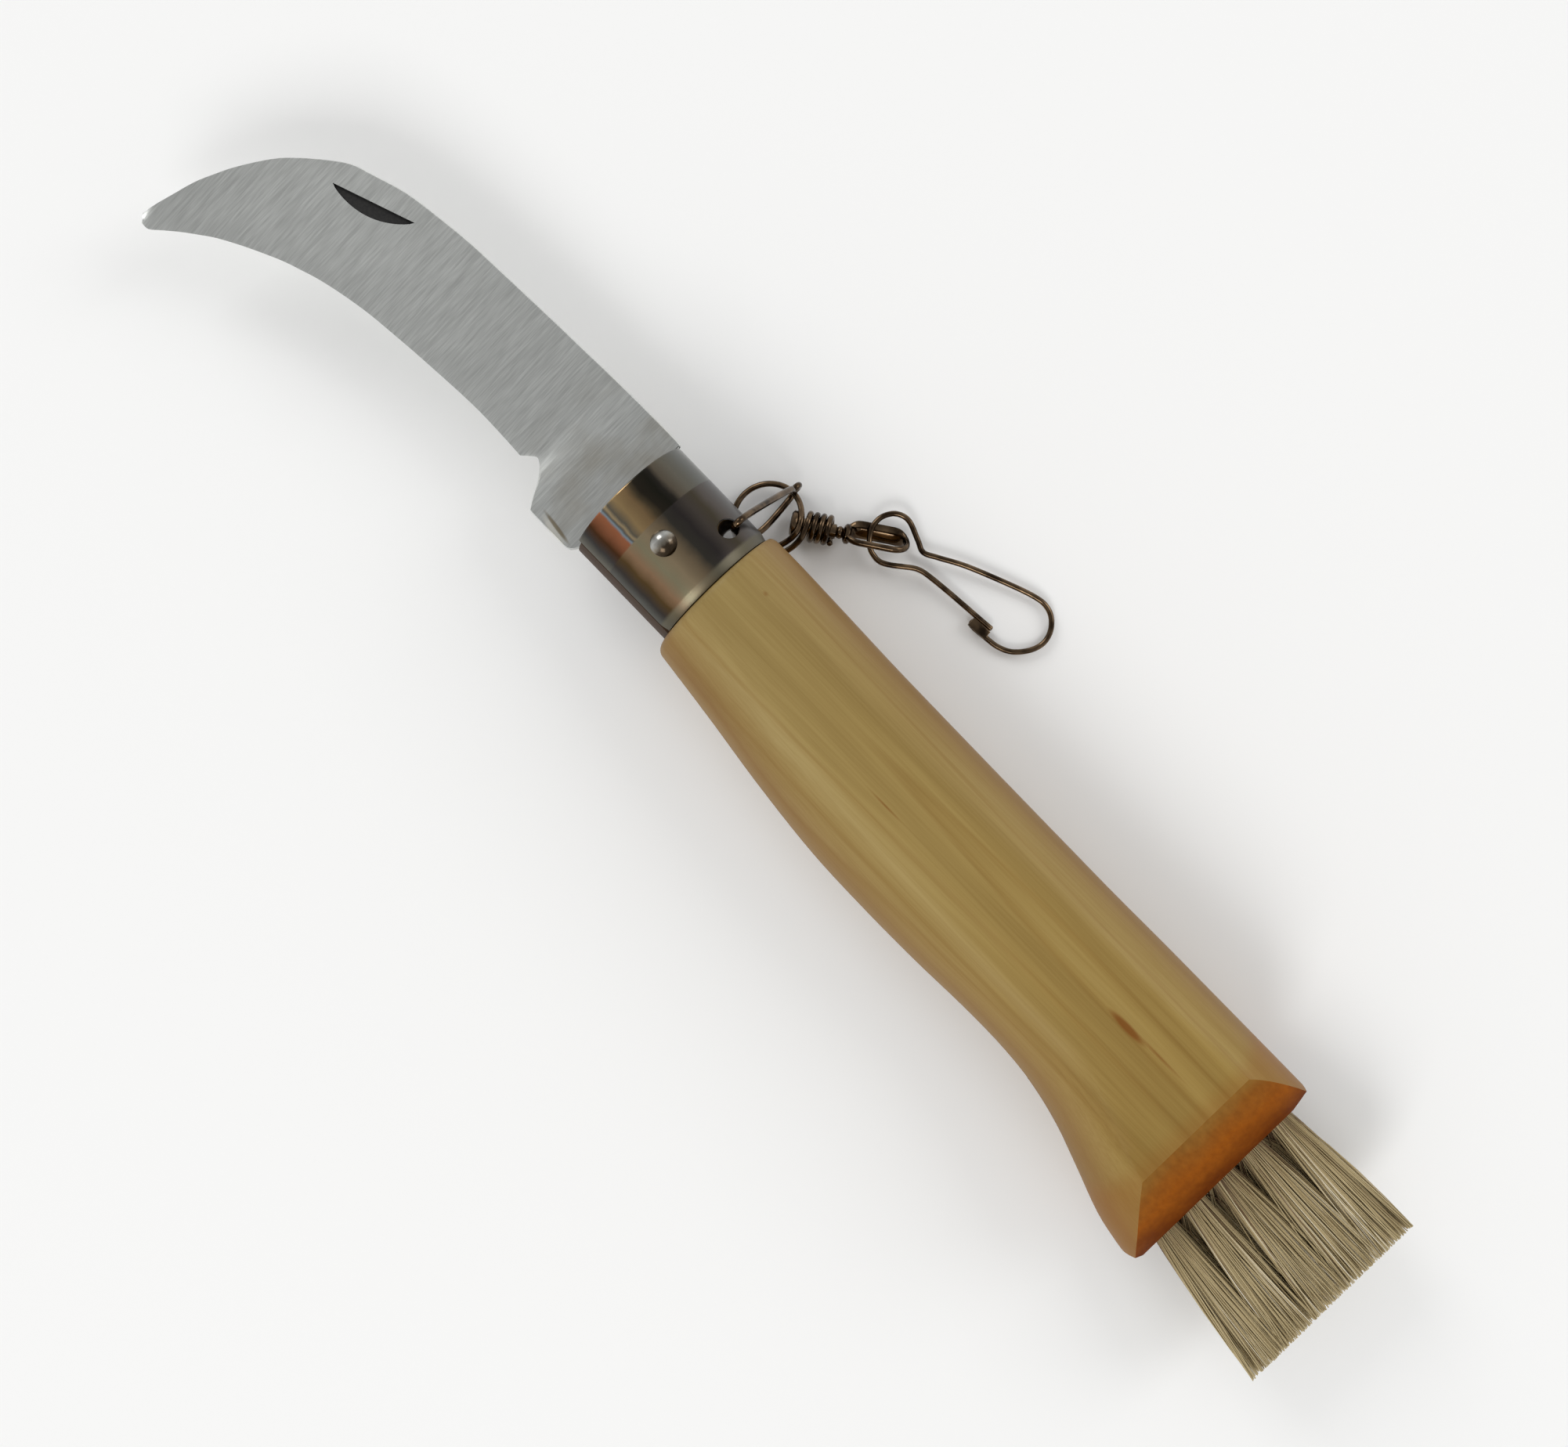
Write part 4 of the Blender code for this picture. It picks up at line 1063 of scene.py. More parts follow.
# Hammered to a dome and polished, so it mirrors the lamps, with a highlight and shade painted on as well
RIVET_STEEL = RivetHeadPaintedLight("polished_rivet_steel_painted_light", 0.22, 1.0)
# Milled and never polished, with dark scale in it, and painted near black for the shade in its hollow
NICK = Mottled("milled_nick_painted_shade", 0.8, tones=("#0b0a0a", "#1b1a18"), patch_mm=0.4)
# Thin bronzed nickel over drawn steel wire: bright golden where it mirrors light, dark elsewhere
WIRE = Mottled("bronzed_nickel_wire", 0.08, 1.0, tones=("#33281e", "#74604a"), patch_mm=2.5, rougher=0.08)
# Waxy hair, with a weak sheen
BRISTLE = HogBristle("bleached_hog_bristle_painted_shade", 0.55, specular=0.3)
# Drawn and never polished, dull yellow
ANCHOR = Mottled("drawn_brass_anchor_wire", 0.4, 1.0, tones=("#7b693c", "#9a8550"), patch_mm=0.5)


# Sub-assemblies


@dataclass
class Handle:
    """The shaped wood with its neck, shoulder, slot, butt bevels and brush holes."""

    spine_height: float = 10.66
    belly_depth: float = 16.3
    shoulder_radius: float = 1.3
    shoulder_step: float = 0.3
    shoulder_steps: int = 7
    # How far the neck ends behind the collar's front rim and before the shoulder
    neck_setback: float = 0.5
    neck_gap: float = 0.05
    # Air round the neck and outside its rib, and beside the rib in radians
    seat_clearance: float = 0.3
    rib_clearance: float = 0.1
    lip_clearance: float = 0.03
    # Line and roundness of the spine side and the belly side, by the share of the wood's length
    spine_shares: Rows = (
        (0.0, 1.03), (0.05, 1.035), (0.14, 1.02), (0.25, 1.0), (0.62, 1.0), (0.75, 1.02), (1.0, 1.04)
    )
    belly_shares: Rows = (
        (0.0, 0.73), (0.11, 0.817), (0.22, 0.915), (0.33, 0.985), (0.42, 1.0), (0.52, 0.993), (0.62, 0.967),
        (0.69, 0.97), (0.75, 1.01), (0.81, 1.10), (0.87, 1.235), (0.93, 1.375), (0.97, 1.43), (1.0, 1.457),
    )
    spine_round_shares: Rows = ((0.0, 0.96), (0.12, 0.88), (0.35, 0.76), (0.7, 0.68), (0.9, 0.7), (1.0, 0.73))
    belly_round_shares: Rows = ((0.0, 1.03), (0.12, 0.98), (0.35, 0.9), (0.7, 0.8), (0.9, 1.345), (1.0, 1.83))
    # How far the sides' ovals would rise past the flats, which gives the flats a crisp edge by the butt
    spine_crease_shares: Rows = ((0.0, 0.0), (0.72, 0.0), (0.9, 0.05), (1.0, 0.05))
    belly_crease_shares: Rows = ((0.0, 0.0), (0.72, 0.0), (0.9, 0.19), (1.0, 0.19))
    arc_points: int = 29
    flat_points: int = 8
    stations: int = 84
    bevel_length: float = 10.6
    bevel_depth: float = 8.5
    bevel_crown: Pair = (0.60, 0.34)
    bevel_steps: int = 16
    # Where the block that the butt is cut to starts, and how far it reaches to each side
    block_start: float = -30.0
    block_reach: float = 60.0
    # How far each corner's cut reaches along the handle, and how far in from its side
    spine_corner: Pair = (1.4, 3.6)
    belly_corner: Pair = (1.9, -2.0)
    corner_reach: float = 20.0
    slot_width: float = 2.5
    slot_plan: Rows = (
        (-12.3, 5.7), (10.6, 5.7), (11.2, 7.3), (20.6, 5.6), (22.0, 4.2), (89.0, 2.9), (89.0, -60.0),
        (-12.3, -60.0),
    )

    def ring(self, x: float, ovals: Sequence[Triple], half: float) -> Path:
        """One ring of the wood: two oval sides joined by the flats.

        Args:
            x: Place along the axis.
            ovals: For the spine side and the belly side, how far out it stands, its reach and its crease.
            half: Half of the thickness there.

        Returns:
            The ring's points.
        """
        sides = []
        for (height, reach, crease), sign in zip(ovals, (1.0, -1.0)):
            limit = math.asin(1.0 / (1.0 + crease))
            side = []
            for i in range(self.arc_points):
                angle = limit - 2.0 * limit * i / (self.arc_points - 1)
                y = height - reach + reach * math.cos(angle)
                side.append(Vector((x, sign * y, sign * half * (1.0 + crease) * math.sin(angle))))
            sides.append(side)
        points = []
        for side, following in ((sides[0], sides[1]), (sides[1], sides[0])):
            points += side
            for i in range(1, self.flat_points + 1):
                points.append(side[-1].lerp(following[0], i / (self.flat_points + 1)))
        return points

    def wood_ring(self, x: float, share: float) -> Path:
        """A ring of the shaped wood at a share of its length.

        Args:
            x: Place along the axis.
            share: Share of the wood's length.

        Returns:
            The ring's points.
        """
        half = LAYOUT.half_thickness
        tables = (
            (self.spine_height, self.spine_shares, self.spine_round_shares, self.spine_crease_shares),
            (self.belly_depth, self.belly_shares, self.belly_round_shares, self.belly_crease_shares),
        )
        ovals = [
            (
                size * interpolated(line, share),
                half * interpolated(rounding, share),
                max(interpolated(crease, share), 0.0),
            )
            for size, line, rounding, crease in tables
        ]
        return self.ring(x, ovals, half)

    def round_ring(self, x: float, radius: float, rib: float = 0.0) -> Path:
        """A round ring, with a rib left standing between the collar's lips.

        Args:
            x: Place along the axis.
            radius: Radius of the ring.
            rib: Radius of the rib, or nothing.

        Returns:
            The ring's points.
        """
        points = self.ring(x, ((radius, radius, 0.0), (radius, radius, 0.0)), radius)
        half_rib = math.radians(LAYOUT.collar_gap) - self.lip_clearance
        for point in points:
            if rib and abs(math.atan2(point.z, -point.y)) < half_rib:
                point.yz = point.yz.normalized() * rib
        return points

    def rings(self) -> list[Path]:
        """Rings of the neck, the rounded shoulder and the shaped wood.

        Returns:
            The rings, from the front to the butt.
        """
        start = LAYOUT.wood_start
        neck_end = start - self.neck_gap
        neck = LAYOUT.collar_radius - LAYOUT.collar_sheet - self.seat_clearance
        rib = LAYOUT.collar_radius - self.rib_clearance
        neck_ends = (self.neck_setback - LAYOUT.collar_front, neck_end)
        rings = [self.round_ring(x, neck, rib) for x in neck_ends]
        for i in range(self.shoulder_steps + 1):
            angle = math.pi / 2 * i / self.shoulder_steps
            x = neck_end + (self.shoulder_radius + self.neck_gap) * (1 - math.cos(angle))
            outer = self.round_ring(x, LAYOUT.collar_radius + self.shoulder_step)
            wood = self.wood_ring(x, (x - start) / LAYOUT.wood_length)
            rings.append([a.lerp(b, math.sin(angle)) for a, b in zip(outer, wood)])
        first = self.shoulder_radius / LAYOUT.wood_length
        for i in range(1, self.stations):
            share = first + (1 - first) * i / (self.stations - 1)
            rings.append(self.wood_ring(start + share * LAYOUT.wood_length, share))
        rings.append(self.wood_ring(LAYOUT.butt_end + LAYOUT.overrun, 1.0))
        return rings

    def bevel_block(self) -> Solid:
        """Block that the butt is cut to: flat faces, then a crowned bevel to the narrow end face.

        Returns:
            The block.
        """
        high = LAYOUT.cutter_height
        crown_x, crown_z = self.bevel_crown
        start = LAYOUT.butt_end - self.bevel_length
        slope = crown_z * self.bevel_depth / (crown_x * self.bevel_length)
        upper = [(self.block_start, high), (start - LAYOUT.overrun / slope, high)]
        for i in range(self.bevel_steps + 1):
            t = i / self.bevel_steps
            x = 2 * t * (1 - t) * crown_x + t * t
            z = 2 * t * (1 - t) * crown_z + t * t
            upper.append((start + x * self.bevel_length, LAYOUT.half_thickness - z * self.bevel_depth))
        side = upper + [(x, -z) for x, z in reversed(upper)]
        return prism([(x, -self.block_reach, z) for x, z in side], (0, 2 * self.block_reach, 0))

    def corner_block(self, height: float, length: float, depth: float) -> Solid:
        """Wedge that takes a corner off the butt.

        Args:
            height: Height of the wood's line there.
            length: How far the cut reaches along the handle.
            depth: How far it reaches in, with the height's sign.

        Returns:
            The wedge.
        """
        out = math.copysign(LAYOUT.overrun, height)
        slope = length / depth
        end, low = LAYOUT.butt_end, -self.corner_reach
        corner = (
            (end - length - slope * out, height + out, low),
            (end + slope * out, height - depth - out, low),
            (end + LAYOUT.overrun, height - depth - out, low),
            (end + LAYOUT.overrun, height + out, low),
        )
        return prism(corner, (0, 0, 2 * self.corner_reach))

    def build(self, brush: "Brush") -> Piece:
        """Builds and dresses the handle.

        Args:
            brush: The brush, whose holes are drilled in the butt.

        Returns:
            The handle's piece.
        """
        lacquered, stained, bare = LACQUERED.material(), STAINED.material(), BARE.material()
        body = mesh_of(skinned(self.rings()), "handle_wood", lacquered)
        corners = (
            ("spine_corner", self.spine_height * self.spine_shares[-1][1], self.spine_corner),
            ("belly_corner", -self.belly_depth * self.belly_shares[-1][1], self.belly_corner),
        )
        slot = prism([(x, y, -self.slot_width / 2) for x, y in self.slot_plan], (0, 0, self.slot_width))
        link_bore = through(LAYOUT.link_hole, LAYOUT.cutter_height, LAYOUT.link_hole_radius)
        tools = [(mesh_of(self.bevel_block(), "bevels", stained), Cut.WITHIN)]
        tools += [cutter(self.corner_block(high, *sizes), name, stained) for name, high, sizes in corners]
        tools += [cutter(slot, "slot", bare), cutter(link_bore, "link_bore", bare)]
        tools += [cutter(brush.bore(i), f"tuft_bore_{i + 1}", bare) for i in range(brush.tufts)]
        mesh = smoothed(carved(body, tools), angle=32)
        piece = add_piece("handle_wood", mesh, Body.HANDLE, ["handle"])
        soften(piece, width=0.18, angle=40)
        return piece


@dataclass
class Collar:
    """The steel sheet wrapped round the neck, open along the belly, and the rivet through it."""

    arc_points: int = 97
    rim_round: float = 0.25
    rim_degrees: tuple[int, ...] = (0, 30, 60, 90)
    # The plain part starts this far behind the front rim
    plain_start: float = 1.0
    plain_steps: int = 11
    roll_length: float = 1.5
    roll_depth: float = 0.32
    roll_steps: int = 6
    # Share of the roll's depth that eases in and out, and how far the inner face follows it
    roll_ease: float = 0.6
    roll_inside: float = 0.5
    rivet_radius: float = 1.5
    rivet_clearance: float = 0.1
    rivet_sides: int = 64
    head_radius: float = 1.85
    head_height: float = 1.0
    head_seat: float = 0.1
    head_steps: int = 12

    def section(self, x: float, inner: float, outer: float) -> Path:
        """One ring of the sheet: out round the neck and back inside.

        Args:
            x: Place along the axis.
            inner: Inner radius.
            outer: Outer radius.

        Returns:
            The ring's points.
        """
        gap = math.radians(LAYOUT.collar_gap)
        points = []
        for radius, order in ((outer, 1), (inner, -1)):
            arc = []
            for i in range(self.arc_points):
                angle = gap + (math.tau - 2 * gap) * i / (self.arc_points - 1)
                arc.append(Vector((x, -radius * math.cos(angle), radius * math.sin(angle))))
            points += arc[::order]
        return points

    def sheet(self) -> Solid:
        """The sheet with its front rim eased and its rear rim rolled in towards the wood.

        Returns:
            A closed solid.
        """
        outer = LAYOUT.collar_radius
        inner = outer - LAYOUT.collar_sheet
        front, rear = -LAYOUT.collar_front, LAYOUT.collar_rear
        rings = []
        for degrees in self.rim_degrees:
            angle = math.radians(degrees)
            x = front + self.rim_round * (1 - math.cos(angle))
            ease = self.rim_round * (1 - math.sin(angle))
            rings.append(self.section(x, inner + ease, outer - ease))
        plain = rear - self.roll_length - front - self.plain_start
        for i in range(1, self.plain_steps + 1):
            rings.append(self.section(front + self.plain_start + plain * i / self.plain_steps, inner, outer))
        for i in range(1, self.roll_steps + 1):
            t = i / self.roll_steps
            eased = self.roll_depth * t * t * (3 - 2 * t) * self.roll_ease
            drop = eased + self.roll_depth * (1 - self.roll_ease) * t
            x = rear - self.roll_length * (1 - t)
            rings.append(self.section(x, inner - drop * self.roll_inside, outer - drop))
        return skinned(rings)

    def rivet(self) -> Solid:
        """The rivet with a domed head at each end, standing on the pivot.

        Returns:
            A closed solid.
        """
        seat = LAYOUT.collar_radius + self.head_seat
        half = [(seat, self.rivet_radius), (seat, self.head_radius)]
        ball = (self.head_radius**2 + self.head_height**2) / (2 * self.head_height)
        rim = math.asin(self.head_radius / ball)
        for i in range(1, self.head_steps + 1):
            angle = rim * (1 - i / self.head_steps)
            half.append((seat + self.head_height - ball * (1 - math.cos(angle)), ball * math.sin(angle)))
        profile = tuple((-z, r) for z, r in reversed(half)) + tuple(half)
        work = turned(profile, self.rivet_sides, axis=(0, 0, 1))
        bmesh.ops.translate(work, verts=work.verts, vec=(0, LAYOUT.pivot_y, 0))
        return work

    def build(self) -> list[Piece]:
        """Builds and dresses the collar and its rivet.

        Returns:
            The two pieces.
        """
        steel = COLLAR_STEEL.material()
        link_hole = through(LAYOUT.link_hole, LAYOUT.cutter_height, LAYOUT.link_hole_radius)
        bore = through(LAYOUT.pivot, LAYOUT.cutter_height, self.rivet_radius + self.rivet_clearance)
        tools = [cutter(link_hole, "link_hole", steel), cutter(bore, "rivet_hole", steel)]
        sheet = smoothed(carved(mesh_of(self.sheet(), "collar_sheet", steel), tools), angle=30)
        collar = add_piece("collar_sheet", sheet, Body.HANDLE, ["ferrule"])
        soften(collar, width=0.12, angle=45)
        mesh = smoothed(mesh_of(self.rivet(), "rivet", RIVET_STEEL.material()))
        return [collar, add_piece("rivet", mesh, Body.HANDLE, ["pivot_rivet"])]


@dataclass
class Blade:
    """The hooked blade: full thickness at its base, ground thin to the edge, with its nail nick and tang."""

    reach: float = 86.0
    width: float = 17.0
    thickness: float = 1.6
    grind_thickness: float = 0.42
    edge_thickness: float = 0.08
    edge_bevel: float = 0.8
    chamfer: float = 0.12
    tang_radius: float = 6.2
    # The tang's upper line by shares of its radius, and its round end by degrees
    tang_tops: tuple[float, ...] = (-1.4, -1.1, -0.5)
    tang_degrees: tuple[int, ...] = (90, 75, 60, 45, 30, 18, 8)
    bore_radius: float = 1.6
    bore_reach: float = 3.0
    shoulder_top: float = 0.588
    shoulder_gap: float = 0.3
    # Most of the blade's width that the cutting bevel and a spine chamfer take
    bevel_share: float = 0.25
    chamfer_share: float = 0.1
    grind_steps: int = 5
    span_steps: int = 4
    # From tip to tang: spine point, edge point and share of the full thickness left at the edge
    shares: Rows = (
        (-1.000, -1.247, -0.993, -1.315, 0.0),
        (-0.996, -1.120, -0.979, -1.312, 0.0),
        (-0.988, -0.958, -0.960, -1.229, 0.0),
        (-0.978, -0.762, -0.937, -1.129, 0.0),
        (-0.965, -0.600, -0.916, -1.049, 0.0),
        (-0.948, -0.418, -0.891, -0.958, 0.0),
        (-0.916, -0.158, -0.852, -0.847, 0.0),
        (-0.888, 0.000, -0.819, -0.765, 0.0),
        (-0.852, 0.161, -0.787, -0.691, 0.0),
        (-0.820, 0.278, -0.756, -0.635, 0.0),
        (-0.788, 0.337, -0.723, -0.581, 0.0),
        (-0.723, 0.441, -0.680, -0.529, 0.0),
        (-0.659, 0.493, -0.628, -0.482, 0.0),
        (-0.595, 0.532, -0.564, -0.447, 0.0),
        (-0.530, 0.552, -0.500, -0.418, 0.0),
        (-0.402, 0.584, -0.402, -0.385, 0.0),
        (-0.337, 0.597, -0.337, -0.385, 0.0),
        (-0.285, 0.609, -0.285, -0.395, 0.0),
        (-0.273, 0.610, -0.273, -0.339, 0.1),
        (-0.264, 0.612, -0.264, -0.304, 0.15),
        (-0.257, 0.613, -0.2565, -0.314, 0.25),
        (-0.247, 0.615, -0.247, -0.352, 0.4),
        (-0.232, 0.618, -0.232, -0.444, 0.65),
        (-0.219, 0.619, -0.219, -0.561, 0.85),
        (-0.208, 0.621, -0.2076, -0.645, 1.0),
        (-0.200, 0.621, -0.200, -0.655, 1.0),
        (-0.157, 0.623, -0.144, -0.655, 1.0),
        (-0.1163, 0.623, -0.1244, -0.654, 1.0),
        (-0.1134, 0.612, -0.1163, -0.639, 1.0),
    )
    heel_shares: Rows = (
        (-0.1116, -0.612), (-0.1086, -0.587), (-0.1048, -0.535), (-0.0814, -0.435), (-0.0465, -0.382)
    )
    # Rows at which the outline turns a corner
    corners: tuple[int, ...] = (0, 17, 24, 28)
    nick_ends: Rows = ((-0.8195, 0.060), (-0.678, 0.318))
    nick_bulge: float = 2.1
    nick_fullness: float = 0.75
    nick_depth: float = 0.5
    nick_rise: float = 0.55
    nick_steps: int = 20
    nick_cutter: float = 1.5

    def pairs(self) -> list[tuple[Vector, Vector, float]]:
        """Spine point, edge point and share of the full thickness at the edge, from tip to tang.

        Returns:
            The two points and the share for each ring.
        """
        scaled = [
            (sx * self.reach, sy * self.width, ex * self.reach, ey * self.width, full)
            for sx, sy, ex, ey, full in self.shares
        ]
        rows = []
        for first, last in zip(self.corners, self.corners[1:]):
            span = smooth_rows(scaled[first : last + 1], self.span_steps)
            rows += span if last == self.corners[-1] else span[:-1]
        pairs = [(Vector(row[0:2]), Vector(row[2:4]), min(max(row[4], 0.0), 1.0)) for row in rows]
        shoulder = -LAYOUT.collar_front - self.shoulder_gap
        top = LAYOUT.pivot_y + self.tang_radius
        tops = [(shoulder, self.shoulder_top * self.width), (shoulder, top)]
        tops += [(self.tang_radius * share, top) for share in self.tang_tops]
        for spine, (hx, hy) in zip(tops, self.heel_shares):
            pairs.append((Vector(spine), Vector((hx * self.reach, hy * self.width)), 1.0))
        for degrees in self.tang_degrees:
            angle = math.radians(degrees)
            out = Vector((math.cos(angle), math.sin(angle))) * self.tang_radius
            pairs.append((LAYOUT.pivot + out, LAYOUT.pivot + Vector((out.x, -out.y)), 1.0))
        return pairs

    def rings(self) -> list[Path]:
        """Rings across the blade: spine chamfers, flat grind and the thin cutting bevel.

        Returns:
            The rings, from tip to tang.
        """
        rings = []
        half = self.thickness / 2
        for spine, edge, full in self.pairs():
            across = edge - spine
            length = across.length
            bevel = min(self.edge_bevel, self.bevel_share * length)
            chamfer = min(self.chamfer, self.chamfer_share * length)
            ground = self.grind_thickness / 2 * (1 - full) + half * full
            sharp = self.edge_thickness / 2 * (1 - full) + (half - self.chamfer) * full
            back = bevel * (1 - full) + chamfer * full
            stops = [(0.0, half - self.chamfer), (chamfer, half)]
            for i in range(1, self.grind_steps + 1):
                at = chamfer + (length - back - chamfer) * i / self.grind_steps
                stops.append((at, half + (ground - half) * i / self.grind_steps))
            stops.append((length, sharp))
            side = [(*(spine + across * (at / length)), z) for at, z in stops]
            rings.append([Vector(point) for point in side + [(x, y, -z) for x, y, z in reversed(side)]])
        return rings

    def nick(self) -> Solid:
        """Cutter of the nail nick: deep at its straight side, running out at its bulged side.

        Returns:
            The cutter.
        """
        left, right = (Vector((x * self.reach, y * self.width)) for x, y in self.nick_ends)
        along = right - left
        out = Vector((along.y, -along.x)).normalized()
        outline = [right, left]
        for i in range(1, self.nick_steps):
            t = i / self.nick_steps
            bulge = out * self.nick_bulge * math.sin(math.pi * t) ** self.nick_fullness
            outline.append(left + along * t + bulge)
        half = self.thickness / 2
        floor = [(point.x, point.y, half - self.nick_depth) for point in outline]
        work = prism(floor, (0, 0, self.nick_cutter))
        for vertex in work.verts:
            if vertex.co.z < half:
                sag = (vertex.co.xy - left).dot(out) / self.nick_bulge
                vertex.co.z += self.nick_rise * self.nick_depth * max(sag, 0.0)
        return work

    def build(self) -> Piece:
        """Builds and dresses the blade.

        Returns:
            The blade's piece.
        """
        steel, nick = BLADE_STEEL.material(), NICK.material()
        bore = through(LAYOUT.pivot, self.bore_reach, self.bore_radius)
        body = mesh_of(skinned(self.rings()), "blade_steel", steel)
        tools = [cutter(bore, "blade_bore", steel), cutter(self.nick(), "nail_nick", nick)]
        mesh = smoothed(carved(body, tools), angle=24)
        return add_piece("blade_steel", mesh, Body.BLADE, ["blade"])


@dataclass
class Swivel:
    """Link, ring with its coil, and the turning eye, all hanging from the collar's cross hole."""

    link_wire: float = 1.0
    link_reach: float = 12.95
    link_bow: float = 1.6
    link_clearance: float = 0.4
    link_near: Rows = (
        (0.18, 0.054, -0.59), (0.18, 0.054, 0.0), (0.18, 0.054, 0.60), (0.22, 0.092, 0.745),
        (0.22, 0.200, 0.705), (0.26, 0.500, 0.150), (0.37, 0.860, -0.600),
    )
    link_far: Rows = (
        (0.66, 0.830, -1.039), (1.00, 0.470, -0.960), (0.95, 0.260, -0.915), (0.55, 0.130, -0.833),
        (0.25, 0.060, -0.745),
    )
    link_apex: float = 0.44
    # Angles from the link's near leg over the ring to its far leg
    link_turn: tuple[int, ...] = (90, 45, 0, -45, -80)
    link_steps: int = 7
    ring_wire: float = 0.9
    ring_radius: float = 5.33
    ring_droop: float = 1.6
    ring_link_angle: float = 95.6
    ring_steps: int = 5
    heading: float = 35.0
    coil_radius: float = 1.9
    coil_pitch: float = 1.02
    coil_turns: float = 3.7
    coil_start: float = 5.72
    coil_steps: int = 32
    coil_clearance: float = 0.12
    lower_clearance: float = 0.05
    shank_radius: float = 1.1
    button_radius: float = 2.0
    button_thickness: float = 1.0
    button_gap: float = 0.6
    neck_radius: float = 0.72
    bead_radius: float = 0.95
    bead_length: float = 0.9
    eye_base: float = 11.06
    eye_base_radius: float = 1.5
    eye_base_length: float = 1.3
    strap: Pair = (0.42, 1.0)
    # Half depth of the strap on the eye's two long sides, and how late it deepens between them
    strap_depths: Pair = (0.5, 1.5)
    strap_power: int = 3
    # The eye starts this far along its base
    eye_start: float = 0.5
    eye_length: float = 9.2
    eye_half_width: float = 2.3
    eye_steps: int = 20
    eye_roll: float = -58.0

    @property
    def axes(self) -> tuple[Vector, Vector]:
        """Directions along the swivel's axis and across it, in the plane that the knife lies on."""
        along = Vector((math.cos(math.radians(self.heading)), math.sin(math.radians(self.heading)), 0))
        return along, Vector((-along.y, along.x, 0))

    @property
    def eye_middle(self) -> float:
        """Place of the eye's middle along the swivel's axis."""
        return self.eye_base + self.eye_start + self.eye_length / 2

    @property
    def axis_height(self) -> float:
        """Height of the swivel's axis, with the coil just over the surface under the handle."""
        return self.lower_clearance + self.coil_radius + self.ring_wire / 2 - LAYOUT.half_thickness

    @property
    def apex_offset(self) -> float:
        """Distance from the link's centre line to the ring's where they meet."""
        return (self.link_wire + self.ring_wire) / 2 + self.link_clearance

    def droop(self, angle: float) -> float:
        """How far the ring's centre line hangs under the axis.

        Args:
            angle: Angle round the ring from the swivel's heading, in radians.

        Returns:
            The drop.
        """
        return self.ring_droop * (1 - math.cos(angle)) / 2

    @property
    def contact(self) -> Vector:
        """Point of the ring's centre line inside the link's apex.

        Returns:
            The point, in the knife's frame.
        """
        x = LAYOUT.link_hole[0] + self.link_bow * self.link_apex
        y = LAYOUT.link_hole[1] + self.link_reach - self.apex_offset
        drop = self.droop(math.radians(self.ring_link_angle - self.heading))
        return Vector((x, y, self.axis_height - drop))

    @property
    def centre(self) -> Vector:
        """Centre of the ring, at the height of the swivel's axis.

        Returns:
            The centre, in the knife's frame.
        """
        angle = math.radians(self.ring_link_angle)
        at = self.contact
        x = at.x - self.ring_radius * math.cos(angle)
        return Vector((x, at.y - self.ring_radius * math.sin(angle), self.axis_height))

    def link(self) -> Solid:
        """The link, through the cross hole, out and round the ring.

        Returns:
            A closed wire.
        """
        origin = Vector((*LAYOUT.link_hole, 0.0))
        size = Vector((self.link_bow, self.link_reach, LAYOUT.collar_radius))
        apex = self.contact - origin
        turn = []
        for degrees in self.link_turn:
            angle = math.radians(degrees)
            turn.append(apex + Vector((0, math.cos(angle), math.sin(angle))) * self.apex_offset)
        near, far = ([Vector(shares) * size for shares in leg] for leg in (self.link_near, self.link_far))
        path = [origin + point for point in smooth_rows(near + turn + far, self.link_steps, closed=True)]
        return wire(path, (self.link_wire / 2, self.link_wire / 2), closed=True)

    def ring_path(self) -> Path:
        """Centre line of the ring and its coil: over the shank, once round, up and over again, then wound.

        Returns:
            The points of the line.
        """
        along, across = self.axes
        up = Vector((0, 0, 1))
        over = self.shank_radius + self.ring_wire / 2 + self.coil_clearance
        # Angle from the heading, radius and height over the axis
        guide = (
            (-62, 4.25, 0.1), (-40, 4.35, 0.9), (-18, 4.6, over), (4, 4.72, over), (24, 4.9, 0.9),
            (45, 5.15, 0.1), (68, 5.33, -0.45), (95, 5.33, -0.87), (125, 5.33, -1.26), (155, 5.33, -1.52),
            (185, 5.33, -1.6), (215, 5.33, -1.46), (245, 5.33, -1.14), (272, 5.36, -0.6), (296, 5.42, 0.15),
            (318, 5.5, 0.95), (340, 5.62, 1.62),
        )
        path = []
        for degrees, radius, height in smooth_rows(guide, self.ring_steps):
            angle = math.radians(degrees)
            path.append(along * radius * math.cos(angle) + across * radius * math.sin(angle) + up * height)
        coil = self.coil_radius
        for i in range(round(self.coil_turns * self.coil_steps) + 1):
            turn = math.tau * i / self.coil_steps
            place = self.coil_start + self.coil_pitch * turn / math.tau
            path.append(along * place + across * coil * math.sin(turn) + up * coil * math.cos(turn))
        return [self.centre + point for point in path]

    def eye_matrix(self) -> Matrix:
        """Matrix from the eye's own axes to the knife's.

        Returns:
            The matrix.
        """
        heading = Matrix.Rotation(math.radians(self.heading), 4, "Z")
        roll = Matrix.Rotation(math.radians(self.eye_roll), 4, "X")
        return Matrix.Translation(self.centre) @ (heading @ roll)

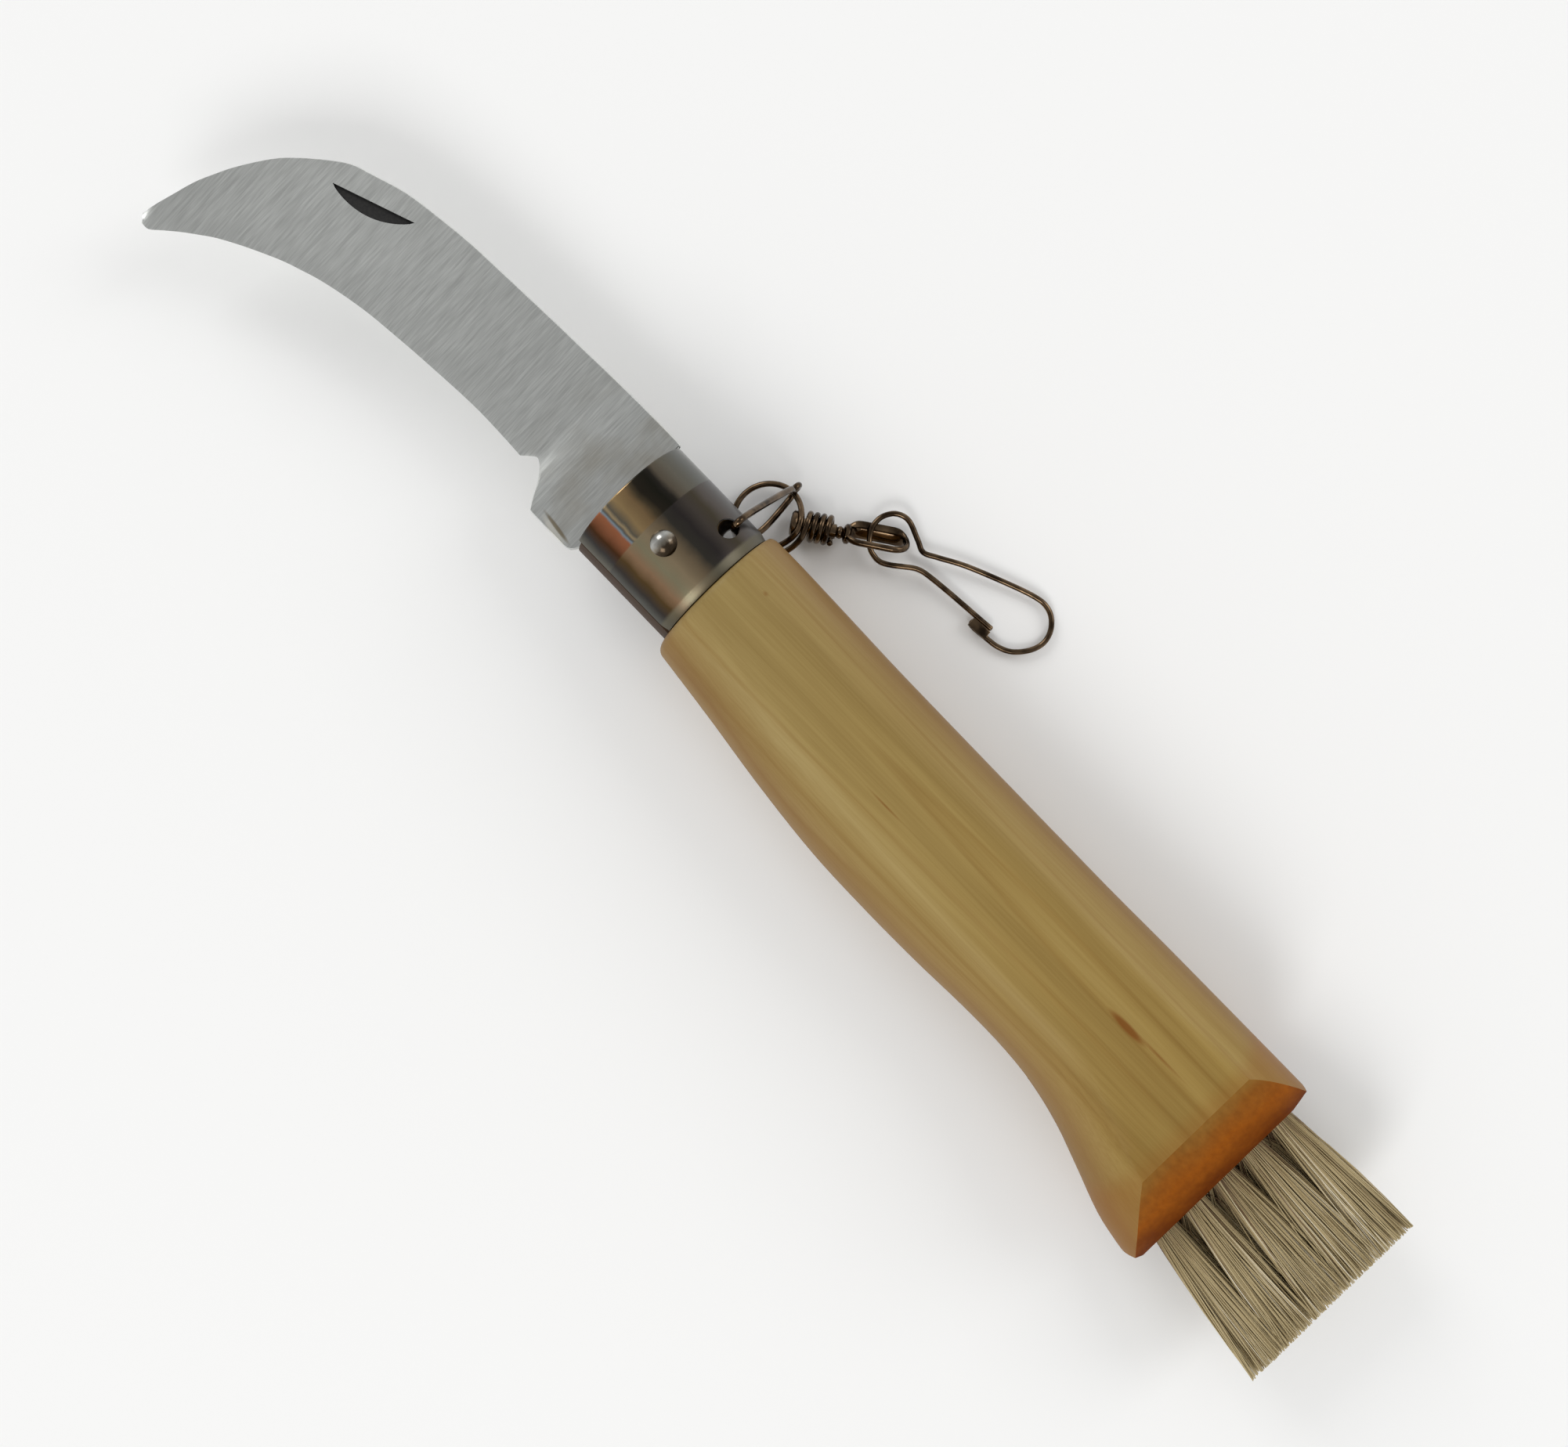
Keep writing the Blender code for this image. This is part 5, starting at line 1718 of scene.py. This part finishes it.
    def shank(self) -> Solid:
        """Button, shank, bead and the eye's base, turned round the swivel's axis.

        Returns:
            A closed solid.
        """
        end = self.ring_radius - self.ring_wire / 2 - self.button_gap
        button = end - self.button_thickness
        radius, neck, knob = self.button_radius, self.neck_radius, self.bead_radius
        base, foot = self.eye_base, self.eye_base_radius
        bead = base - self.bead_length
        profile = (
            (button - 0.12, 0.0), (button - 0.08, radius * 0.5), (button, radius * 0.84),
            (button + 0.3, radius), (end - 0.25, radius), (end, radius * 0.9), (end, self.shank_radius),
            (bead - 0.15, self.shank_radius), (bead, neck), (bead + 0.15, knob * 0.9),
            (bead + 0.35, knob), (bead + 0.6, knob), (bead + 0.78, knob * 0.88),
            (base, neck), (base + 0.2, foot * 0.85), (base + 0.45, foot),
            (base + 0.9, foot), (base + 1.15, foot * 0.85),
            (base + self.eye_base_length, foot * 0.55), (base + self.eye_base_length, 0.0),
        )
        return turned(profile, segments=40, axis=(1, 0, 0))

    def eye_loop(self) -> Solid:
        """The oval eye, bent from a strap with rounded sides.

        Returns:
            A closed loop.
        """
        straight = self.eye_length / 2 - self.eye_half_width
        path = []
        for end in (1, -1):
            for i in range(self.eye_steps + 1):
                angle = math.radians(-90.0 * end + 180.0 * i / self.eye_steps)
                x = self.eye_middle + end * straight + self.eye_half_width * math.cos(angle)
                path.append(Vector((x, self.eye_half_width * math.sin(angle), 0)))
        loop = wire(path, self.strap, sides=20, closed=True, up=Vector((0, 0, 1)))
        shallow, deep = self.strap_depths
        for vertex in loop.verts:
            share = min(max(vertex.co.y / self.eye_half_width, -1.0), 1.0) / 2 + 0.5
            vertex.co.z *= shallow + (deep - shallow) * share**self.strap_power
        return loop

    def build(self) -> list[Piece]:
        """Builds and dresses the link, the ring and the eye.

        Returns:
            The three pieces.
        """
        finish = WIRE.material()
        half = self.ring_wire / 2
        link = smoothed(mesh_of(self.link(), "link_wire", finish))
        ring = smoothed(mesh_of(wire(self.ring_path(), (half, half), sides=14), "ring_and_coil", finish))
        loop = (mesh_of(self.eye_loop(), "loop", finish), Cut.JOINED)
        eye = carved(mesh_of(self.shank(), "swivel_eye_body", finish), [loop])
        eye.transform(self.eye_matrix())
        return [
            add_piece("link_wire", link, Body.LINK, ["hole_link"]),
            add_piece("ring_and_coil", ring, Body.RING, ["swivel_ring"]),
            add_piece("swivel_eye_body", smoothed(eye), Body.EYE, ["swivel_eye"]),
        ]


@dataclass
class Snap:
    """The bent wire of the snap and its springing gate arm."""

    swivel: Swivel
    wire_radius: float = 0.425
    length: float = 30.0
    width: float = 13.4
    sidestep: float = 1.3
    drop: float = 0.5
    pitch: float = 2.5
    thread_share: float = 0.45
    hook: Rows = (
        (0.676, 0.120), (0.677, 0.088), (0.695, 0.075), (0.773, 0.093), (0.850, 0.121), (0.920, 0.201),
        (0.975, 0.358), (0.995, 0.515), (0.977, 0.664), (0.930, 0.776), (0.873, 0.821), (0.810, 0.806),
        (0.695, 0.716), (0.463, 0.494), (0.328, 0.326), (0.258, 0.247), (0.197, 0.295), (0.097, 0.373),
        (0.030, 0.328), (-0.008, 0.201), (-0.010, 0.060), (0.020, -0.067), (0.067, -0.153), (0.117, -0.178),
    )
    gate: Rows = (
        (0.117, -0.178), (0.135, -0.174), (0.155, -0.160), (0.193, -0.107), (0.270, 0.032), (0.301, 0.075),
        (0.339, 0.102), (0.424, 0.130), (0.540, 0.158), (0.656, 0.182), (0.761, 0.206),
    )
    # The hook's end is hammered to a tab, behind which the gate's end latches
    tab: Rows = ((0.668, 0.048), (0.664, 0.158), (0.772, 0.174), (0.778, 0.064))
    tab_thickness: float = 0.82
    tab_edge: float = 0.1
    bend_length: float = 2.6
    span_steps: int = 8

    @property
    def tilt(self) -> Matrix:
        """Turn from the knife's plane to the snap's."""
        return Matrix.Rotation(math.radians(self.pitch), 3, "Y")

    def placed(self, shares: Rows) -> Path:
        """Centre line through shares of the snap's length and width, in the knife's frame.

        Args:
            shares: Points in the snap's plane.

        Returns:
            The centre line, with span_steps points for each of the spans.
        """
        along, across = self.swivel.axes
        threads = self.swivel.eye_middle - self.swivel.eye_half_width * self.thread_share
        origin = self.swivel.centre + along * threads + across * self.sidestep - Vector((0, 0, self.drop))
        rows = [(x * self.length, y * self.width, 0.0) for x, y in shares]
        return [origin + self.tilt @ point for point in smooth_rows(rows, self.span_steps)]

    def build(self) -> list[Piece]:
        """Builds and dresses the hook and the gate arm.

        Returns:
            The two pieces.
        """
        finish = WIRE.material()
        radii = (self.wire_radius, self.wire_radius)
        plate = self.tilt @ Vector((0, 0, 1)) * self.tab_thickness
        # Of the smooth line only the table's own points are the plate's corners
        corners = self.placed(self.tab)[:: self.span_steps]
        tab = prism([corner - plate / 2 for corner in corners], plate)
        bmesh.ops.bevel(
            tab, geom=tab.edges[:], offset=self.tab_edge, segments=2, profile=0.5, affect="EDGES", material=-1
        )
        bent = mesh_of(wire(self.placed(self.hook), radii), "snap_wire", finish)
        hook = smoothed(carved(bent, [(mesh_of(tab, "tab", finish), Cut.JOINED)]))
        path = self.placed(self.gate)
        arm = smoothed(mesh_of(wire(path, radii), "gate_arm", finish))
        pieces = [
            add_piece("snap_wire", hook, Body.SNAP, ["snap_hook"]),
            add_piece("gate_arm", arm, Body.SNAP, ["snap_gate"], across=Body.GATE),
        ]
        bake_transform(pieces[1])
        return pieces


@dataclass
class Brush:
    """Five tufts of bristle in the butt, cut straight at their ends."""

    tufts: int = 5
    strands: int = 640
    # The strands that lie low spread wider and sooner, to close the gaps between the tufts
    low_share: float = 0.34
    low_spread: float = 1.5
    low_flare: float = 0.3
    flare: float = 0.95
    pitch: float = 5.6
    row_centre: float = -5.9
    hole_radius: float = 2.0
    hole_depth: float = 11.0
    hole_sides: int = 32
    hole_margin: float = 0.15
    # Below 1, the strands crowd towards the upper side and the lower side
    crowding: float = 0.6
    length: float = 23.7
    trim: float = 0.08
    crown: float = 0.8
    end_centre: float = -7.3
    end_width: float = 31.2
    end_depth: float = 7.6
    end_overlap: float = 0.3
    # How much strands lean and bow, what share of them stray and how far
    lean: float = 0.35
    bow: float = 0.22
    stray_share: float = 0.07
    stray_lean: Pair = (0.8, 2.4)
    strand_radius: float = 0.09
    strand_sides: int = 4
    tip_taper: float = 0.9
    # Places of a strand's points by the share of the way from its hole's mouth to its end
    stations: tuple[float, ...] = (0.0, 0.16, 0.34, 0.55, 0.78, 1.0)
    root_depth: float = 7.5
    mouth_depth: float = 0.5
    # Middle and spread of the strands' tones, and the share and tones of the nearly white ones
    tones: Pair = (0.5, 0.13)
    pale_share: float = 0.06
    pale_tones: Pair = (0.85, 1.0)
    # Painted shade darkens the first points of a strand, most of all on the low ones, which lie under the rest
    shaded_points: int = 4
    root_shade: float = 0.45
    low_root_shade: float = 0.65
    seed: int = 41

    def hole_y(self, index: int) -> float:
        """Place of a tuft's hole across the butt.

        Args:
            index: The tuft's number from nought.

        Returns:
            Its Y.
        """
        return self.row_centre + (index - (self.tufts - 1) / 2) * self.pitch

    def bore(self, index: int) -> Solid:
        """Cutter of a tuft's hole.

        Args:
            index: The tuft's number from nought.

        Returns:
            The cutter.
        """
        y, end = self.hole_y(index), LAYOUT.butt_end
        return drill(
            (end - self.hole_depth, y, 0), (end + LAYOUT.overrun, y, 0), self.hole_radius, self.hole_sides
        )

    def strand_path(self, index: int, pick: random.Random, low: bool) -> Path:
        """Centre line of one bristle, from deep in its hole to the trimmed end.

        Args:
            index: The tuft's number from nought.
            pick: Source of random numbers.
            low: Whether it lies under the rest and spreads sooner, so that it closes the gap beside it.

        Returns:
            The strand's points.
        """
        a, b = pick.uniform(-1, 1), pick.uniform(-1, 1)
        b = -abs(b) if low else math.copysign(abs(b) ** self.crowding, b)
        hole_y, spread = self.hole_y(index), self.hole_radius - self.hole_margin
        root_y = hole_y + a * math.sqrt(1 - b * b / 2) * spread
        root_z = b * math.sqrt(1 - a * a / 2) * spread
        end_pitch = self.end_width / self.tufts
        centre = self.end_centre + (index - (self.tufts - 1) / 2) * end_pitch
        lean = pick.gauss(0, self.lean)
        if pick.random() < self.stray_share:
            lean += pick.choice((-1, 1)) * pick.uniform(*self.stray_lean)
        limit = self.end_width / 2 - self.strand_radius
        tip_y = centre + a * (end_pitch / 2 + self.end_overlap) * (self.low_spread if low else 1.0) + lean
        tip_y = min(max(tip_y, self.end_centre - limit), self.end_centre + limit)
        tip_z = b * (self.end_depth / 2 - self.strand_radius)
        end = self.length - pick.uniform(0, self.trim) - self.crown * max(b, 0.0)
        bow = pick.gauss(0, self.bow)
        path = [Vector((LAYOUT.butt_end - self.root_depth, root_y, root_z))]
        outer = index in (0, self.tufts - 1) and (tip_y - root_y) * (hole_y - self.row_centre) > 0
        for t in self.stations:
            flare = t ** (self.low_flare if low and not outer else self.flare)
            x = LAYOUT.butt_end - self.mouth_depth + (end + self.mouth_depth) * t
            y = root_y + (tip_y - root_y) * flare + bow * math.sin(math.pi * t)
            path.append(Vector((x, y, root_z + (tip_z - root_z) * flare)))
        return path

    def tuft(self, index: int) -> Solid:
        """All strands of one tuft, each with its own tone and painted shade at its root.

        Args:
            index: The tuft's number from nought.

        Returns:
            The strands in one bmesh.
        """
        pick = random.Random(self.seed + index)
        work = bmesh.new()
        tone_layer = work.verts.layers.float.new("tone")
        sides = self.strand_sides
        for number in range(self.strands):
            low = number < self.strands * self.low_share
            path = self.strand_path(index, pick, low)
            tone = min(max(pick.gauss(*self.tones), 0.0), 1.0)
            if pick.random() < self.pale_share:
                tone = pick.uniform(*self.pale_tones)
            spin = pick.uniform(0, math.tau)
            made = bmesh.ops.create_grid(work, x_segments=sides, y_segments=len(path) - 1, size=1.0)
            for place, vertex in enumerate(made["verts"]):
                row, corner = divmod(place, sides + 1)
                angle = spin + math.tau * (corner % sides) / sides
                radius = self.strand_radius * (1.0 if row < len(path) - 2 else self.tip_taper)
                vertex.co = path[row] + Vector((0, math.cos(angle), math.sin(angle))) * radius
                # Painted shade at the strand's root, deepest on the low strands
                root_shade = max(1 - row / self.shaded_points, 0.0) * (self.low_root_shade if low else self.root_shade)
                vertex[tone_layer] = max(tone - root_shade, 0.0)
        bmesh.ops.remove_doubles(work, verts=work.verts, dist=STRAND_WELD)
        bmesh.ops.holes_fill(work, edges=[edge for edge in work.edges if edge.is_boundary], sides=sides)
        bmesh.ops.recalc_face_normals(work, faces=work.faces)
        return work

    def build(self) -> list[Piece]:
        """Builds and dresses the tufts, and dresses their anchors.

        Returns:
            The five tufts.
        """
        bristle, anchor = BRISTLE.material(), ANCHOR.material()
        pieces = []
        for i in range(self.tufts):
            name = f"bristles_{i + 1}"
            mesh = mesh_of(self.tuft(i), name, bristle)
            mesh.shade_smooth()
            pieces.append(add_piece(name, mesh, Body.HANDLE, [f"bristle_tuft_{i + 1}"]))
            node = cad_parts[f"tuft_anchor_{i + 1}"]
            node.data.materials.clear()
            node.data.materials.append(anchor)
        return pieces


@dataclass
class Studio:
    """A pale floor, soft lamps and the camera straight over the knife."""

    camera_place: Triple = (28.8, -6.2, 216.0)
    camera_turn: float = 46.0
    view_angle: float = 54.44
    near_clip: float = 0.01
    floor_size: float = 6.0
    floor_drop: float = 0.0002
    floor_colour: str = "#fafaf9"
    # How bright the sky is straight overhead and at the horizon
    sky: Pair = (0.35, 1.0)
    # Each lamp's place from the knife, its size and its power in watts
    lamps: tuple[tuple[Triple, float, float], ...] = (
        ((1.1, -1.5, 1.6), 1.1, 20.5),
        ((-2.0, 0.3, 1.2), 1.0, 11.0),
        ((0.8, 1.8, 1.4), 1.2, 11.0),
    )

    def floor(self) -> Piece:
        """Adds the floor, whose pale colour makes the white background and keeps the knife's shadow.

        Returns:
            The floor's object.
        """
        # Blotting white, so it shows the shadow and no glare
        tones = (self.floor_colour, self.floor_colour)
        paper = Mottled("white_paper_floor", 0.95, specular=0.0, tones=tones, patch_mm=50.0)
        material = paper.material()
        work = bmesh.new()
        bmesh.ops.create_grid(work, x_segments=1, y_segments=1, size=self.floor_size / 2)
        bmesh.ops.translate(work, verts=work.verts, vec=(0, 0, -self.floor_drop))
        floor = bpy.data.objects.new("floor", mesh_of(work, "floor", material))
        bpy.context.scene.collection.objects.link(floor)
        return floor

    def light(self) -> None:
        """Adds the lamps and the sky."""
        for index, (place, size, power) in enumerate(self.lamps):
            lamp = bpy.data.lights.new(f"soft_lamp_{index + 1}", "AREA")
            lamp.size = size
            lamp.energy = power
            holder = bpy.data.objects.new(lamp.name, lamp)
            holder.location = place
            holder.rotation_euler = (-Vector(place)).to_track_quat("-Z", "Y").to_euler()
            bpy.context.scene.collection.objects.link(holder)
        world = bpy.data.worlds.new("soft_sky")
        world.use_nodes = True
        tree = world.node_tree
        way = add_node(tree, "TexCoord", output="Generated")
        rise = add_node(tree, "SeparateXYZ", {"Vector": way}, "Z")
        overhead, horizon = self.sky
        span = {"Value": rise, "To Min": horizon, "To Max": overhead}
        background = tree.nodes["Background"]
        background.inputs["Color"].default_value = linear("#ffffff")
        tree.links.new(add_node(tree, "MapRange", span), background.inputs["Strength"])
        bpy.context.scene.world = world

    def camera(self) -> None:
        """Adds the camera where the photograph was taken from."""
        data = bpy.data.cameras.new("camera")
        data.sensor_fit = "HORIZONTAL"
        data.angle = math.radians(self.view_angle)
        data.clip_start = self.near_clip
        holder = bpy.data.objects.new("camera", data)
        holder.location = TO_FRAME @ Vector(self.camera_place)
        holder.rotation_euler = (0, 0, math.radians(self.camera_turn))
        bpy.context.scene.collection.objects.link(holder)
        bpy.context.scene.camera = holder

    def build(self) -> None:
        """Sets the stage."""
        bpy.context.scene.view_settings.view_transform = "Standard"
        self.floor()
        self.light()
        self.camera()


def main() -> None:
    """Builds the knife, sub-assembly by sub-assembly, and its studio."""
    logging.basicConfig(level=logging.INFO, format="%(name)s: %(message)s")
    brush = Brush()
    Handle().build(brush)
    Collar().build()
    Blade().build()
    swivel = Swivel()
    swivel.build()
    Snap(swivel).build()
    brush.build()
    Studio().build()


if __name__ == "__main__":
    main()
